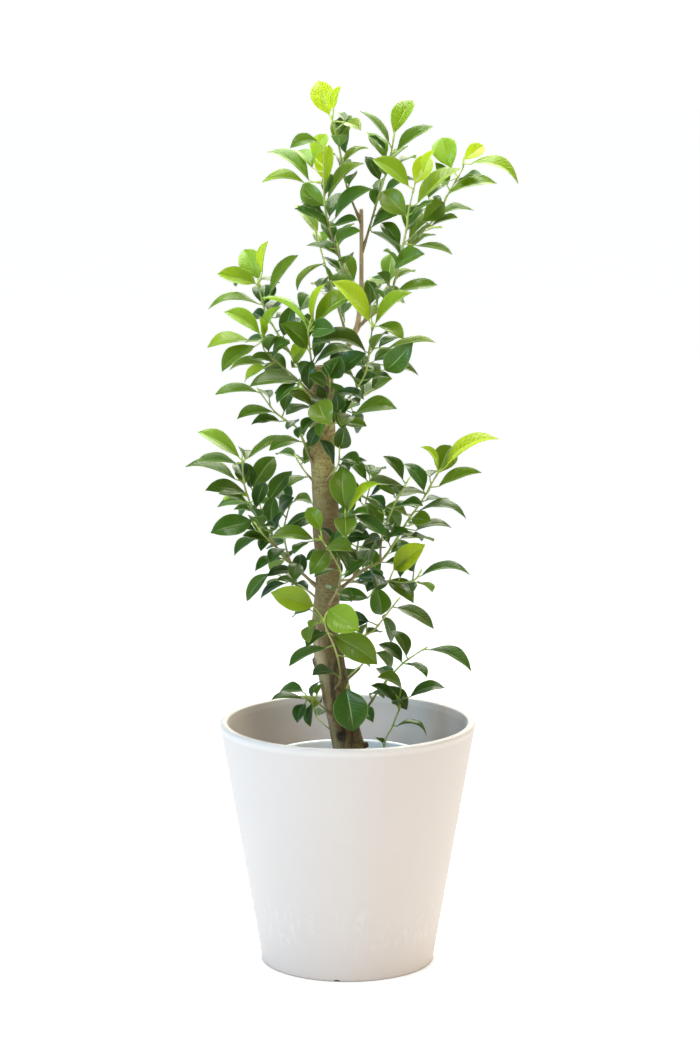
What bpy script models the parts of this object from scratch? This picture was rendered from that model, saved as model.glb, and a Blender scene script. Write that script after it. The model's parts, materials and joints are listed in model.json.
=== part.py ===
# A Chinese banyan grown as a small upright tree, standing in its white nursery pot
# inside a white tapered planter.
# The tables are in millimetres: x to the right, y to the back, z up, with the origin under the
# middle of the planter, on the plane that it stands on. Those of the shoots give x and z as
# they show, from the viewpoint, on the upright plane through the trunk.

import math

import bpy
from mathutils import Quaternion, Vector
from mathutils.bvhtree import BVHTree

mm = 0.001
seatGap = 0.3  # between two solids that touch on the real plant

planter = dict(rimRadius=160.0, baseRadius=107.5, height=305.0, wall=8.0, lip=10.0, floor=7.0,
               edge=4.0, sides=36)
drain = dict(count=4, holeRadius=6.0, ring=62.0, grooveWidth=9.0, grooveHeight=2.2, turn=-97.0)
innerPot = dict(rimRadius=105.0, lipRadius=101.0, baseRadius=78.0, top=257.0, wall=2.0,
                lipDrop=14.0, sides=24)
soil = dict(top=240.0, crown=4.0, sides=20)

# Trunk and woody leader: x, y, z and radius
trunkLine = [
    (10, 0, 206, 20.5), (3, 0, 262, 20.0), (-7, 1, 308, 18.6), (-15, 2, 344, 18.1),
    (-23, 3, 388, 18.1), (-28, 2, 414, 16.3), (-27, 0, 445, 16.0), (-24, -1, 479, 15.9),
    (-25, 0, 518, 15.6), (-27, 1, 544, 16.3), (-27, 2, 572, 16.3), (-30, 2, 601, 14.4),
    (-30.5, 1, 661, 15.6), (-31.5, 0, 688, 15.6), (-31.5, 0, 727, 15.0), (-34, 0, 743, 12.5),
    (-35, 0, 750, 8.5),
]
leaderLine = [
    (-24, 2, 730, 4.6), (-8, 3, 759, 4.2), (-1, 3, 771, 3.9), (7, 3, 787, 3.6), (13, 3, 805, 3.4),
    (16.5, 4, 840, 3.1), (17, 4, 888, 2.9), (16.7, 4, 942, 2.6),
]
# Pruned stubs and swellings on the trunk: from, to, and the two radii
stubs = [
    ((-28, -2, 416), (-46, -6, 426), 6.5, 4.5),
    ((-24, 2, 384), (-42, 0, 378), 8.0, 5.5),
    ((-7, -2, 300), (3, -19, 296), 9.0, 7.0),
    ((6, 0, 266), (25, -4, 276), 8.0, 3.5),
    ((-30, 0, 716), (-30, -16, 722), 8.5, 7.0),
    ((-20, 2, 745), (-5, -2, 770), 3.4, 2.8),
]
trunkSides = 12
stemSides = 5
stemTip = 1.1
budLength = 7.0

leafThickness = 1.3
petioleHalf = 0.65
petioleSeen = 9.0  # the usual length of a petiole from the front
leafInsert = 0.25  # how far to the front or back a petiole goes, as a share of its blade
leastAhead = 5.0
firstLeaf = 0.12  # no leaf below this share of a stem's first stretch
widthOfLength = 0.56
foldRise = 0.30  # rise of a blade's edges over its rib, as a share of the half-width
archRise = 0.07  # the same for its bow, as a share of its length
clearance = 0.4  # kept between a leaf and whatever else is near
collarHeight = 0.5
longLeaf = 62.0  # from this length a blade has three stations
viewpoint = Vector((3.0, -3880.0, 1200.0))
spreading = 2.0  # how much further out to the front or back a stem's end stands than its table says

# Half-widths along the blade as (share of the length, share of the half-width)
longStations = ((0.20, 0.74), (0.50, 1.00), (0.80, 0.62))
shortStations = ((0.31, 0.92), (0.70, 0.84))

# Each leafy shoot: its name, what carries it, its radius where it starts, the route of its stem,
# and its leaves. The first point of a route lies inside the carrier.
# A leaf is x and z of the blade's foot, then how far across, back and up its tip lies from there,
# the width seen from the front, its age tone (0 dark and old, 1 lime and new),
# and for a strongly bowed leaf its rise as a share of its length.
shoots = [
    ("shoot_01", "trunk", 2.0,
     [(16.7, 4, 924), (5.4, 2, 951), (-4, 0, 980), (-9, -2, 1010), (-18, -4, 1047)], [
         (-22, 1055, -13, 15, 41, 29, .85), (-17, 1061, 9, -8, 28, 11, 1),
         (-2, 1046, -14, 25, 12, 8, .2),
         (-10, 1017, -1, 25, 34, 24, .45), (-2, 1008, 5, 20, 35, 10, .25),
         (-2, 1046, 17, -30, -7, 15, .55),
         (-5, 998, 28, 15, 19, 6, .5), (-9, 994, -7, 22, 15, 6, .15)]),
    ("shoot_02", "shoot_03", 1.7,
     [(-5.9, -2, 873), (-17, -6, 901), (-27, -8, 940), (-29, -8, 975), (-28.5, -8, 1012)], [
         (-28, 945, -26, 20, 26, 25, .5), (-52, 973, -51, 8, 0, 10, .55),
         (-47, 976, -48, 5, 35, 18, .5),
         (-43, 991, -21, 30, 21, 15, .6), (-26, 973, 2, 16, 46, 24, .85),
         (-41, 1002, 15, 20, 29, 19, .9),
         (-24, 1026, -33, -4, -8, 15, .4, .2), (-24, 954, 41, 6, 44, 11, .4),
         (-22, 932, 24, 30, 30, 15, .2),
         (-15, 930, 46, 10, 40, 15, .3), (-18, 920, 30, -25, 8, 11, .25),
         (-22, 918, -49, -5, 27, 18, .3)]),
    ("shoot_03", "trunk", 2.0, [(16.2, 4, 824), (3, 1, 856), (-5.9, -2, 873), (-12, -4, 897)], [
        (-14, 898, 2, 35, 22, 20, .35), (-12, 899, 19, 20, 23, 5, .45), (-11, 898, 26, -25, 17, 8, .4),
        (-12, 885, -37, 20, 12, 10, .2), (-22, 893, 7, -25, 7, 8, .3), (8, 854, -15, 30, 30, 28, .4)]),
    ("shoot_04", "trunk", 2.0,
     [(2, 3, 776), (-8.4, 14, 811), (-16, 18, 835), (-25, 20, 866), (-36, 18, 904), (-38.4, 17, 913)], [
         (-37, 911, -26, 20, 37, 15, .35), (-28, 876, -33, -20, -31, 7, .4),
         (-25, 858, -10, -30, -13, 10, .2),
         (-20, 846, 22, 34, 14, 20, .25), (-12, 824, -20, 36, 18, 18, .2)]),
    ("shoot_05", "trunk", 1.9,
     [(16.8, 4, 886), (26, 3, 916), (34, 0, 944), (41, -2, 966), (52, -3, 1006), (56, -4, 1028)], [
         (56, 1032, 23, 18, 41, 23, .6), (50, 1022, -33, 10, 38, 9, .3),
         (46, 1002, -23, 20, 31, 18, .45),
         (60, 1012, 43, 8, 29, 12, .35), (54, 1001, 19, 25, 16, 6, .5), (61, 996, 20, 30, 9, 6, .35),
         (39, 962, 5, 30, 18, 11, .2), (23, 918, 37, -10, -27, 10, .3),
         (30, 920, 29, -28, 14, 15, .3)]),
    ("shoot_06", "trunk", 2.2,
     [(12.5, 3, 797), (49, -8, 829), (58, -12, 856), (64, -14, 880), (71.7, -16, 918), (74, -17, 938),
      (82, -18, 973)], [
         (82, 972, 17, 25, 33, 25, .85), (92, 985, 14, -4, 27, 10, .95), (71, 933, -29, 20, 29, 30, .5),
         (72, 915, 7, 35, 30, 28, .35), (75, 905, 40, 5, 33, 10, .5), (74, 890, 33, 25, 20, 11, .4),
         (84, 897, 43, -10, -9, 6, .55), (57, 869, 38, -25, 20, 19, .4), (60, 857, 22, 25, 8, 9, .5),
         (59, 840, 50, -8, 8, 11, .45), (74, 969, -43, -12, 32, 20, .55),
         (85, 948, 50, 12, 44, 16, .5)]),
    ("shoot_07", "trunk", 1.8, [(10, 3, 790), (30, 16, 822), (50, 22, 850)], [
        (51, 854, 4, 30, 33, 25, .35), (47, 854, -27, -25, -14, 11, .5), (47, 852, -23, 25, -20, 6, .2),
        (40, 838, 30, 32, -6, 18, .25), (28, 822, -16, 38, 8, 20, .2)]),
    ("shoot_08", "shoot_06", 1.6,
     [(65.3, -14.3, 886), (81, -9, 904), (103, -5, 926), (111, -4, 933), (118, -3, 952), (138, -2, 987),
      (140.4, -2, 996)], [
         (123, 975, -25, -30, -17, 15, .4), (118, 949, -26, -30, -21, 25, .45),
         (126, 991, -12, 20, 36, 32, .75),
         (141, 1001, 23, 20, 17, 19, .95), (149, 996, 58, 5, -23, 11, .6, .16),
         (122, 960, 57, -6, 14, 14, .5),
         (112, 934, 48, 10, 7, 9, .35), (98, 916, 16, 25, 2, 4, .6)]),
    ("shoot_09", "trunk", 2.2,
     [(-32, 0, 712), (-61, -3, 752), (-81, -5, 782), (-97, -6, 809), (-103.4, -7, 825),
      (-108.4, -7, 849)], [
         (-108, 857, -18, 20, 35, 30, .75), (-104, 864, 7, -8, 38, 10, 1),
         (-112, 851, -46, -10, 11, 20, .6),
         (-113, 851, -24, 30, -1, 5, .2), (-106, 856, 22, 28, -5, 6, .2),
         (-102, 824, 2, 30, 25, 31, .1),
         (-95, 837, 37, 0, 50, 11, .4), (-109, 826, -60, -5, -2, 8, .45),
         (-96, 815, 12, 35, 15, 18, .1),
         (-100, 806, -17, 30, 9, 16, .1), (-88, 809, 21, 28, 1, 8, .1),
         (-68, 752, 17, -25, 24, 18, .6), (-82, 794, 24, 30, 14, 16, .1)]),
    ("shoot_10", "trunk", 2.0,
     [(-32, -3, 700), (-60, -17, 731), (-87, -21, 755), (-102, -22, 769), (-103.5, -22, 783)], [
         (-107, 789, -41, -12, 28, 18, .8), (-102, 784, 18, -5, 39, 9, .75),
         (-103, 786, -4, -10, 26, 11, 1),
         (-119, 780, -52, -6, -4, 13, .65), (-113, 774, -41, -20, -29, 20, .45),
         (-102, 783, -22, 26, -3, 8, .15),
         (-102, 783, 20, 22, -2, 8, .15), (-91, 754, -26, -28, 6, 10, .4),
         (-91, 762, 18, -30, 16, 15, .3), (-101, 752, -44, 10, -4, 7, .45),
         (-100, 748, -28, 22, -16, 12, .8)]),
    ("shoot_11", "trunk", 1.9,
     [(-33, -2, 720), (-43, -22, 748), (-47, -26, 778), (-48, -27, 792), (-46, -27, 802)], [
         (-47, 795, -55, -8, 38, 6, .75, .15), (-49, 771, -30, -25, 30, 25, .35),
         (-42, 804, 13, -5, 46, 7, .95),
         (-40, 799, 48, -8, 39, 20, .55), (-41, 794, 26, -38, -1, 25, .25),
         (-58, 818, 14, 25, 25, 25, .25),
         (-42, 752, 47, -12, 17, 13, .3, .15)]),
    ("shoot_12", "trunk", 2.1,
     [(-31, -4, 682), (-3, -19, 705), (13, -24, 725), (23, -28, 745), (27, -30, 772), (30.4, -30, 797)], [
         (27, 804, -44, -10, 49, 24, .85), (34, 802, 42, -8, 39, 14, .55), (29, 808, 8, 22, 17, 10, .5),
         (38, 799, 30, -25, -15, 15, .55), (38, 772, 29, 20, 12, 9, .2), (50, 772, 56, -5, 9, 9, .5),
         (46, 744, 34, -20, 35, 30, .35), (31, 769, 17, -30, 22, 11, .3),
         (27, 766, -60, -12, 13, 18, .25, .2),
         (26, 752, 10, -30, -13, 13, .35), (48, 750, 38, 15, -12, 10, .3),
         (33, 756, 24, 24, 14, 16, .35), (18, 750, -30, 24, 4, 16, .12)]),
    ("shoot_13", "trunk", 1.8, [(-31, 3, 680), (3, 15, 703), (18, 18, 712), (33, 20, 722)], [
        (30, 721, 21, 28, 18, 19, .25), (33, 720, 21, -30, 14, 11, .5), (9, 690, 49, -20, 10, 19, .45),
        (20, 712, -4, 40, 22, 20, .2), (6, 704, -12, 42, -8, 20, .25), (6, 694, 8, 26, -26, 18, .12)]),
    ("shoot_14", "trunk", 1.6, [(-31, -3, 704), (-22, -22, 716), (-22, -26, 736)], [
        (-23, 735, 14, -24, 27, 28, .25), (-12, 737, 34, -15, 28, 19, .2),
        (-16, 716, 35, -30, -4, 13, .2),
        (-16, 741, 8, 12, 34, 20, .15), (-26, 728, -20, -26, 10, 16, .3),
        (-24, 742, -14, -28, 24, 16, .2)]),
    ("shoot_15", "trunk", 1.6, [(-31.5, -6, 692), (-47, -26, 712), (-56, -32, 725)], [
        (-52, 731, -60, -12, -3, 20, .25), (-63, 729, -28, -22, -27, 15, .25),
        (-44, 706, -25, -30, 7, 15, .3),
        (-48, 700, -27, -30, -11, 13, .4), (-61, 723, -13, -30, 6, 7, .55),
        (-57, 716, -26, 20, -2, 12, .35)]),
    ("shoot_16", "trunk", 2.1,
     [(-30, 0, 600), (-48, -6, 640), (-61, -9, 671), (-78, -10, 684), (-91, -10, 695),
      (-107, -10, 717)], [
         (-78, 693, 12, 22, 26, 15, .2), (-96, 710, -8, 30, 10, 11, .3),
         (-92, 693, -43, -15, -6, 15, .45),
         (-109, 718, -51, -5, -4, 10, .5), (-62, 684, -11, -28, -12, 9, .35),
         (-50, 680, -9, -28, -16, 9, .35),
         (-52, 658, -38, -15, -11, 13, .45)]),
    ("shoot_17", "trunk", 1.6, [(-31, -2, 676), (-35, -23, 690), (-37, -29, 702)], [
        (-37, 709, 13, -28, -27, 33, .55), (-32, 682, -1, -25, -20, 14, .45)]),
    ("shoot_18", "trunk", 1.6, [(-30, -2, 660), (-15, -20, 680), (-10, -25, 692)], [
        (-14, 697, 6, -30, -24, 15, .25), (6, 690, -15, -32, -15, 18, .35)]),
    ("shoot_19", "trunk", 1.6, [(-30, -4, 604), (-12, -19, 626), (-10, -22, 645)], [
        (-10, 647, 6, -24, 29, 23, .18), (-8, 634, 22, -34, -6, 16, .3)]),
    ("shoot_20", "trunk", 1.7, [(-30, 3, 592), (-54, 10, 621), (-62.5, 12, 635)], [
        (-63, 637, -24, 28, 3, 11, .35), (-60, 636, 7, 30, -7, 10, .3),
        (-52, 612, -20, -28, -11, 10, .4)]),
    ("shoot_21", "trunk", 2.6,
     [(-25, 0, 462), (-61, -2, 496), (-80, -2, 513), (-92, -2, 531), (-110, -3, 558), (-121, -4, 582),
      (-128, -5, 606), (-129.6, -5, 632)], [
         (-133, 636, -50, -8, 32, 18, .75), (-122, 636, 48, 5, 26, 10, .5),
         (-126, 634, -5, 38, 13, 15, .3),
         (-137, 629, -48, -18, 2, 11, .5), (-138, 609, -60, 5, 19, 9, .3),
         (-127, 593, -47, -20, 4, 18, .3),
         (-124, 588, -28, 25, -5, 6, .7), (-127, 611, -9, 32, 18, 18, .2),
         (-109, 536, -31, -20, -20, 12, .35),
         (-96, 541, -6, -32, -21, 18, .45), (-80, 510, -34, -20, -13, 11, .3),
         (-73, 525, -19, -30, -16, 13, .25),
         (-79, 508, -15, 28, -14, 11, .4), (-63, 504, -4, -30, -20, 20, .25)]),
    ("shoot_22", "shoot_21", 1.7,
     [(-91, -2, 529.5), (-97, 11, 555), (-105, 14, 568), (-109, 15, 580), (-114.6, 16, 592)], [
         (-118, 597, 27, 18, 39, 28, .2), (-98, 579, 29, 15, 40, 20, .2),
         (-120, 579, -16, 28, -13, 13, .3),
         (-122, 580, -39, 20, -5, 15, .3), (-118, 576, 18, -25, 2, 5, .45),
         (-119, 598, -14, -14, 32, 18, .15)]),
    ("shoot_23", "shoot_21", 1.5, [(-86, -2, 522), (-104, -16, 540), (-113, -20, 553)], [
        (-115, 558, -50, -15, -13, 28, .3), (-108, 548, -14, -34, 12, 16, .25)]),
    ("shoot_24", "shoot_21", 1.7,
     [(-71, -2, 505), (-76, 13, 524), (-79, 18, 545), (-72, 20, 575)], [
         (-88, 541, 37, -12, 20, 9, .3), (-72, 547, 31, 20, 9, 9, .15), (-88, 553, 20, 22, 28, 11, .35),
         (-71, 581, -13, 23, 23, 25, .1), (-66, 583, 25, 25, -5, 11, .3),
         (-78, 530, -20, 36, -4, 16, .25), (-84, 572, 16, -28, 14, 18, .06)]),
    ("shoot_25", "trunk", 1.8, [(-25, 4, 448), (-50, 14, 470), (-72, 18, 482), (-90, 18, 492)], [
        (-95, 493, -29, 5, -34, 15, .35), (-83, 485, -12, 28, -13, 11, .35),
        (-66, 480, -6, 38, 14, 18, .2)]),
    ("shoot_26", "trunk", 1.9,
     [(-27, -3, 444), (-12, -24, 472), (-8.4, -29, 492), (-14, -31, 506), (-25, -32, 524),
      (-32, -32, 534)], [
         (-43, 535, -50, -18, 1, 20, .5), (-48, 531, -18, -28, -15, 8, .35),
         (-26, 520, -20, -28, -29, 25, .4),
         (-11, 496, -29, -22, -8, 6, .3), (-26, 524, 30, -32, -2, 18, .45),
         (2, 494, -14, -22, 25, 13, .25),
         (-33, 545, -17, 18, 29, 20, .7)]),
    ("shoot_27", "trunk", 1.8, [(-26, -4, 508), (-8, -25, 530), (-3.4, -31, 546), (-2.7, -33, 567)], [
        (-3, 572, -3, 8, 52, 34, .55), (0, 567, 32, -8, 43, 8, 1), (-3, 561, 0, -32, -24, 28, .5),
        (0, 537, 27, -30, 0, 18, .15), (9, 564, 39, -12, -26, 18, .25), (3, 561, 26, -25, 7, 8, .4)]),
    ("shoot_28", "trunk", 2.6,
     [(-24, 2, 460), (20, 6, 496), (42, 6, 508), (61, 4, 535), (74, 2, 557), (92, 0, 583),
      (110.4, -2, 616)], [
         (94, 595, -24, 15, 35, 18, .3), (101, 612, 11, 30, 8, 9, .25), (112, 617, 15, 22, 34, 31, .45),
         (111, 622, -19, -8, 28, 6, .95), (122, 626, 61, 0, 36, 11, .85),
         (112, 600, 52, -6, 18, 13, .45),
         (104, 591, -39, -18, -3, 8, .25), (96, 583, 29, 25, -1, 6, .3),
         (88, 570, 58, -8, -1, 11, .3, .14),
         (84, 545, 44, 12, 6, 8, .35), (80, 537, 26, 28, -5, 5, .4), (65, 535, 27, 30, 0, 11, .1),
         (84, 574, -29, -20, -1, 6, .35), (64, 548, -18, -22, 26, 20, .4),
         (74, 564, -18, -28, 10, 11, .6),
         (79, 560, 24, -28, -3, 18, .4), (76, 551, 20, 25, -2, 6, .4),
         (72, 566, -24, 26, 9, 17, .85), (62, 538, -18, 24, 22, 17, .08)]),
    ("shoot_29", "shoot_28", 1.8,
     [(40, 6, 507), (43, -9, 538), (57, -15, 576), (65, -17, 591), (74, -18, 607)], [
         (68, 609, -24, 10, 29, 15, .25), (78, 599, -45, -15, 5, 10, .35),
         (58, 587, -18, -28, 12, 14, .5),
         (70, 584, -27, 18, 19, 10, .25), (46, 572, -18, 22, 15, 15, .2),
         (38, 570, -21, -22, 18, 6, .3)]),
    ("shoot_30", "shoot_28", 1.7,
     [(8, 5, 486), (11, 15, 515), (16, 19, 551), (21, 21, 575), (28.7, 22, 604)], [
         (23, 609, -23, 15, 26, 15, .3), (27, 614, -5, 30, 14, 15, .25), (30, 611, 17, 25, 12, 6, .25),
         (34, 611, 6, -30, 8, 9, .5), (10, 560, -24, 34, 8, 18, .2), (24, 566, 30, 34, 4, 18, .25),
         (18, 526, 24, 26, 8, 22, .05), (6, 528, -22, 24, 8, 22, .05)]),
    ("shoot_31", "shoot_28", 1.8,
     [(20, 6, 496), (38, -7, 480), (52, -11, 482), (68, -13, 480), (83, -13, 483), (89, -13, 491)], [
         (57, 496, 38, -20, 31, 28, .85), (50, 482, 37, -22, -30, 25, .4), (82, 494, 2, 28, 12, 9, .35),
         (92, 489, 58, -5, 4, 10, .35, .12), (86, 480, 19, 25, -10, 5, .45),
         (30, 496, 12, -30, -46, 18, .22)]),
    ("shoot_32", "trunk", 1.9, [(-24, 8, 474), (-2, 21, 483), (22, 26, 478), (36, 27, 478)], [
        (22, 502, -31, 15, 15, 20, .05), (40, 492, -24, 18, 34, 23, .3), (34, 477, 8, 22, -37, 28, .3),
        (34, 478, -7, -25, 22, 13, .2), (10, 487, 14, 32, -5, 9, .35), (26, 460, -39, 12, 1, 18, .4)]),
    ("shoot_33", "trunk", 2.0,
     [(-24, 4, 390), (23, 16, 414), (34, 17, 421), (50, 18, 442), (61, 18, 456)], [
        (55, 452, 45, -5, -27, 18, .3), (42, 439, 11, 20, -34, 13, .25), (24, 414, 17, 28, 3, 8, .4),
        (26, 431, -24, 22, 8, 20, .15), (24, 428, 6, 28, 12, 8, .4)]),
    ("shoot_34", "trunk", 1.9,
     [(-19, -2, 338), (-9, -23, 357), (-12, -28, 383), (-18.4, -32, 403), (-25.4, -34, 418),
      (-29, -34, 430)], [
         (-42, 450, -51, -15, 17, 30, .65), (-34, 452, 37, -28, -25, 38, .8),
         (-46, 446, -22, 25, -8, 9, .1),
         (-46, 426, -2, -28, -22, 15, .5), (-26, 416, -25, -28, -17, 15, .3),
         (-27, 397, -45, -15, -23, 15, .4),
         (-36, 433, -10, -28, -9, 9, .5), (-18, 413, 54, -18, -34, 35, .45),
         (-2, 386, 31, 15, -11, 8, .3),
         (-11, 361, -32, -30, 2, 13, .25)]),
    ("shoot_35", "trunk", 1.7, [(-12, -2, 314), (1, -21, 332), (1, -30, 350)], [
        (-4, 357, 9, -20, -54, 44, .4), (12, 318, 19, -32, -13, 18, .3)]),
    ("shoot_36", "trunk", 1.7, [(-16, 4, 346), (3, 21, 362), (20, 27, 378), (30, 29, 388)], [
        (34, 393, 20, 20, -21, 15, .3), (24, 384, -18, 34, 14, 20, .25),
        (10, 370, -10, 42, -14, 20, .3)]),
    ("shoot_37", "trunk", 1.6, [(-9, -3, 303), (-32, -12, 323), (-41, -14, 332), (-52, -14, 335)], [
        (-56, 342, -27, 25, 2, 13, .45), (-56, 333, -38, -20, 0, 6, .3),
        (-53, 326, -10, -25, -23, 15, .3),
        (-44, 327, -4, -15, -29, 10, .35), (-35, 325, -8, 25, 9, 6, .5), (-45, 335, 10, 20, 20, 8, .4),
        (-38, 338, 7, -16, 14, 7, .5)]),
    ("shoot_38", "trunk", 1.5, [(-4, 4, 280), (-27, 14, 298), (-38, 18, 309), (-41, 18, 317)], [
        (-42, 321, -9, -22, 12, 9, .45), (-38, 311, 10, 34, 6, 12, .3)]),
    ("shoot_39", "trunk", 2.2,
     [(2, 3, 272), (20, 9, 314), (31, 9, 331), (43, 8, 349), (66, 6, 375), (83, 5, 388), (94, 4, 395)], [
         (73, 387, -17, 18, 33, 15, .3), (68, 379, -28, 20, 23, 15, .3),
         (102, 395, 51, -5, -27, 15, .35, .12),
         (72, 377, 27, -25, -15, 6, .45), (26, 338, 18, -25, -3, 8, .4),
         (46, 353, 25, -14, -30, 20, .25),
         (52, 356, -12, 36, 16, 18, .25)]),
    ("shoot_40", "soil", 1.9,
     [(38, -12, 212), (46, -12, 274), (55, -12, 295), (62, -12, 313), (65.5, -12, 322), (63, -12, 331)], [
         (60, 326, -28, -12, 25, 10, .3), (78, 335, 41, -8, 14, 13, .35), (64, 324, 5, -28, 8, 9, .25),
         (60, 298, 38, -5, -9, 6, .3, .2), (44, 276, -7, -18, 7, 6, .4),
         (67, 348, -28, -25, 13, 16, .55)]),
]


# Reading the tables

def spaced(line):
    return [(Vector(point[:3]), point[3]) for point in line]


def stemRadius(startRadius, share):
    return startRadius + (stemTip - startRadius) * share


def atDepth(x, z, depth):
    # The point at this depth that shows at x and z
    share = 1 - depth / viewpoint.y
    offset = (Vector((x, 0, z)) - viewpoint) * share
    return Vector((viewpoint.x + offset.x, depth, viewpoint.z + offset.z))


def shown(point):
    # Where a point shows
    share = 1 - point.y / viewpoint.y
    offset = (point - viewpoint) / share
    return Vector((viewpoint.x + offset.x, 0, viewpoint.z + offset.z))


def nearest(target, line, least=0.0):
    # The place on a line of points that shows nearest to the target
    best = None
    for i, (a, b) in enumerate(zip(line, line[1:])):
        ab = shown(b) - shown(a)
        share = min(1.0, max(0.0, (target - shown(a)).dot(ab) / ab.length_squared))
        share = max(share, least) if i == 0 else share
        place = a + (b - a) * share
        off = (shown(place) - target).length
        if best is None or off < best[0]:
            best = (off, place)
    return best[1]


def deepRoute(route, carrierRoute):
    # Each stem stands further out to the front or back, the more so towards its end.
    points = [Vector(p) for p in route]
    begin = points[0].y
    if carrierRoute:
        begin = nearest(Vector((points[0].x, 0, points[0].z)), carrierRoute).y
    total = sum((b - a).length for a, b in zip(points, points[1:]))
    run = 0.0
    deep = []
    for i, point in enumerate(points):
        run += (point - points[max(i - 1, 0)]).length
        depth = begin + (point.y - points[0].y) * (1 + spreading * run / total)
        deep.append(atDepth(point.x, point.z, depth))
    return deep


def shootLine(start, startRadius, route):
    points = [start] + route[1:]
    steps = [(b - a).length for a, b in zip(points, points[1:])]
    total = sum(steps)
    line = [(points[0], startRadius)]
    run = 0.0
    for point, step in zip(points[1:], steps):
        run += step
        line.append((point, stemRadius(startRadius, run / total)))
    return line


def distanceOutside(point, line):
    nearest = 1e9
    for (a, radiusA), (b, radiusB) in zip(line, line[1:]):
        ab = b - a
        share = min(1.0, max(0.0, (point - a).dot(ab) / ab.length_squared))
        radius = radiusA + (radiusB - radiusA) * share
        nearest = min(nearest, (point - a - ab * share).length - radius)
    return nearest


def collarEnd(route, startRadius, carrierLines):
    origin = route[0]
    direction = (route[1] - origin).normalized()
    run = 1.0
    needed = startRadius + collarHeight
    while min(distanceOutside(origin + direction * run, line) for line in carrierLines) < needed:
        run += 0.25
    return origin + direction * run, direction


# Meshes as lists of points and faces

def tube(line, sides, apex=0.0):
    points = [p for p, radius in line]
    verts = []
    faces = []
    side = None
    for i, (centre, radius) in enumerate(line):
        along = (points[min(i + 1, len(points) - 1)] - points[max(i - 1, 0)]).normalized()
        side = along.orthogonal() if side is None else side
        side = (side - along * side.dot(along)).normalized()
        other = along.cross(side)
        for j in range(sides):
            turn = 2 * math.pi * j / sides
            verts.append(centre + (side * math.cos(turn) + other * math.sin(turn)) * radius)
    for i in range(len(line) - 1):
        for j in range(sides):
            k = (j + 1) % sides
            low = i * sides
            high = low + sides
            faces.append((low + j, low + k, high + k, high + j))
    faces.append(tuple(reversed(range(sides))))
    last = (len(line) - 1) * sides
    if apex:
        verts.append(points[-1] + (points[-1] - points[-2]).normalized() * apex)
        faces += [(last + j, last + (j + 1) % sides, len(verts) - 1) for j in range(sides)]
    else:
        faces.append(tuple(last + j for j in range(sides)))
    return verts, faces


def turned(profile, sides):
    # The profile runs from the axis, up the outside and back to the axis.
    verts = [Vector((0, 0, profile[0][1]))]
    for radius, height in profile[1:-1]:
        for j in range(sides):
            turn = 2 * math.pi * j / sides
            verts.append(Vector((radius * math.cos(turn), radius * math.sin(turn), height)))
    verts.append(Vector((0, 0, profile[-1][1])))
    last = len(verts) - 1
    faces = []
    for j in range(sides):
        k = (j + 1) % sides
        faces.append((0, 1 + k, 1 + j))
        for i in range(len(profile) - 3):
            low = 1 + i * sides
            high = low + sides
            faces.append((low + j, low + k, high + k, high + j))
        top = 1 + (len(profile) - 3) * sides
        faces.append((top + j, top + k, last))
    return verts, faces


# Leaves

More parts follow.
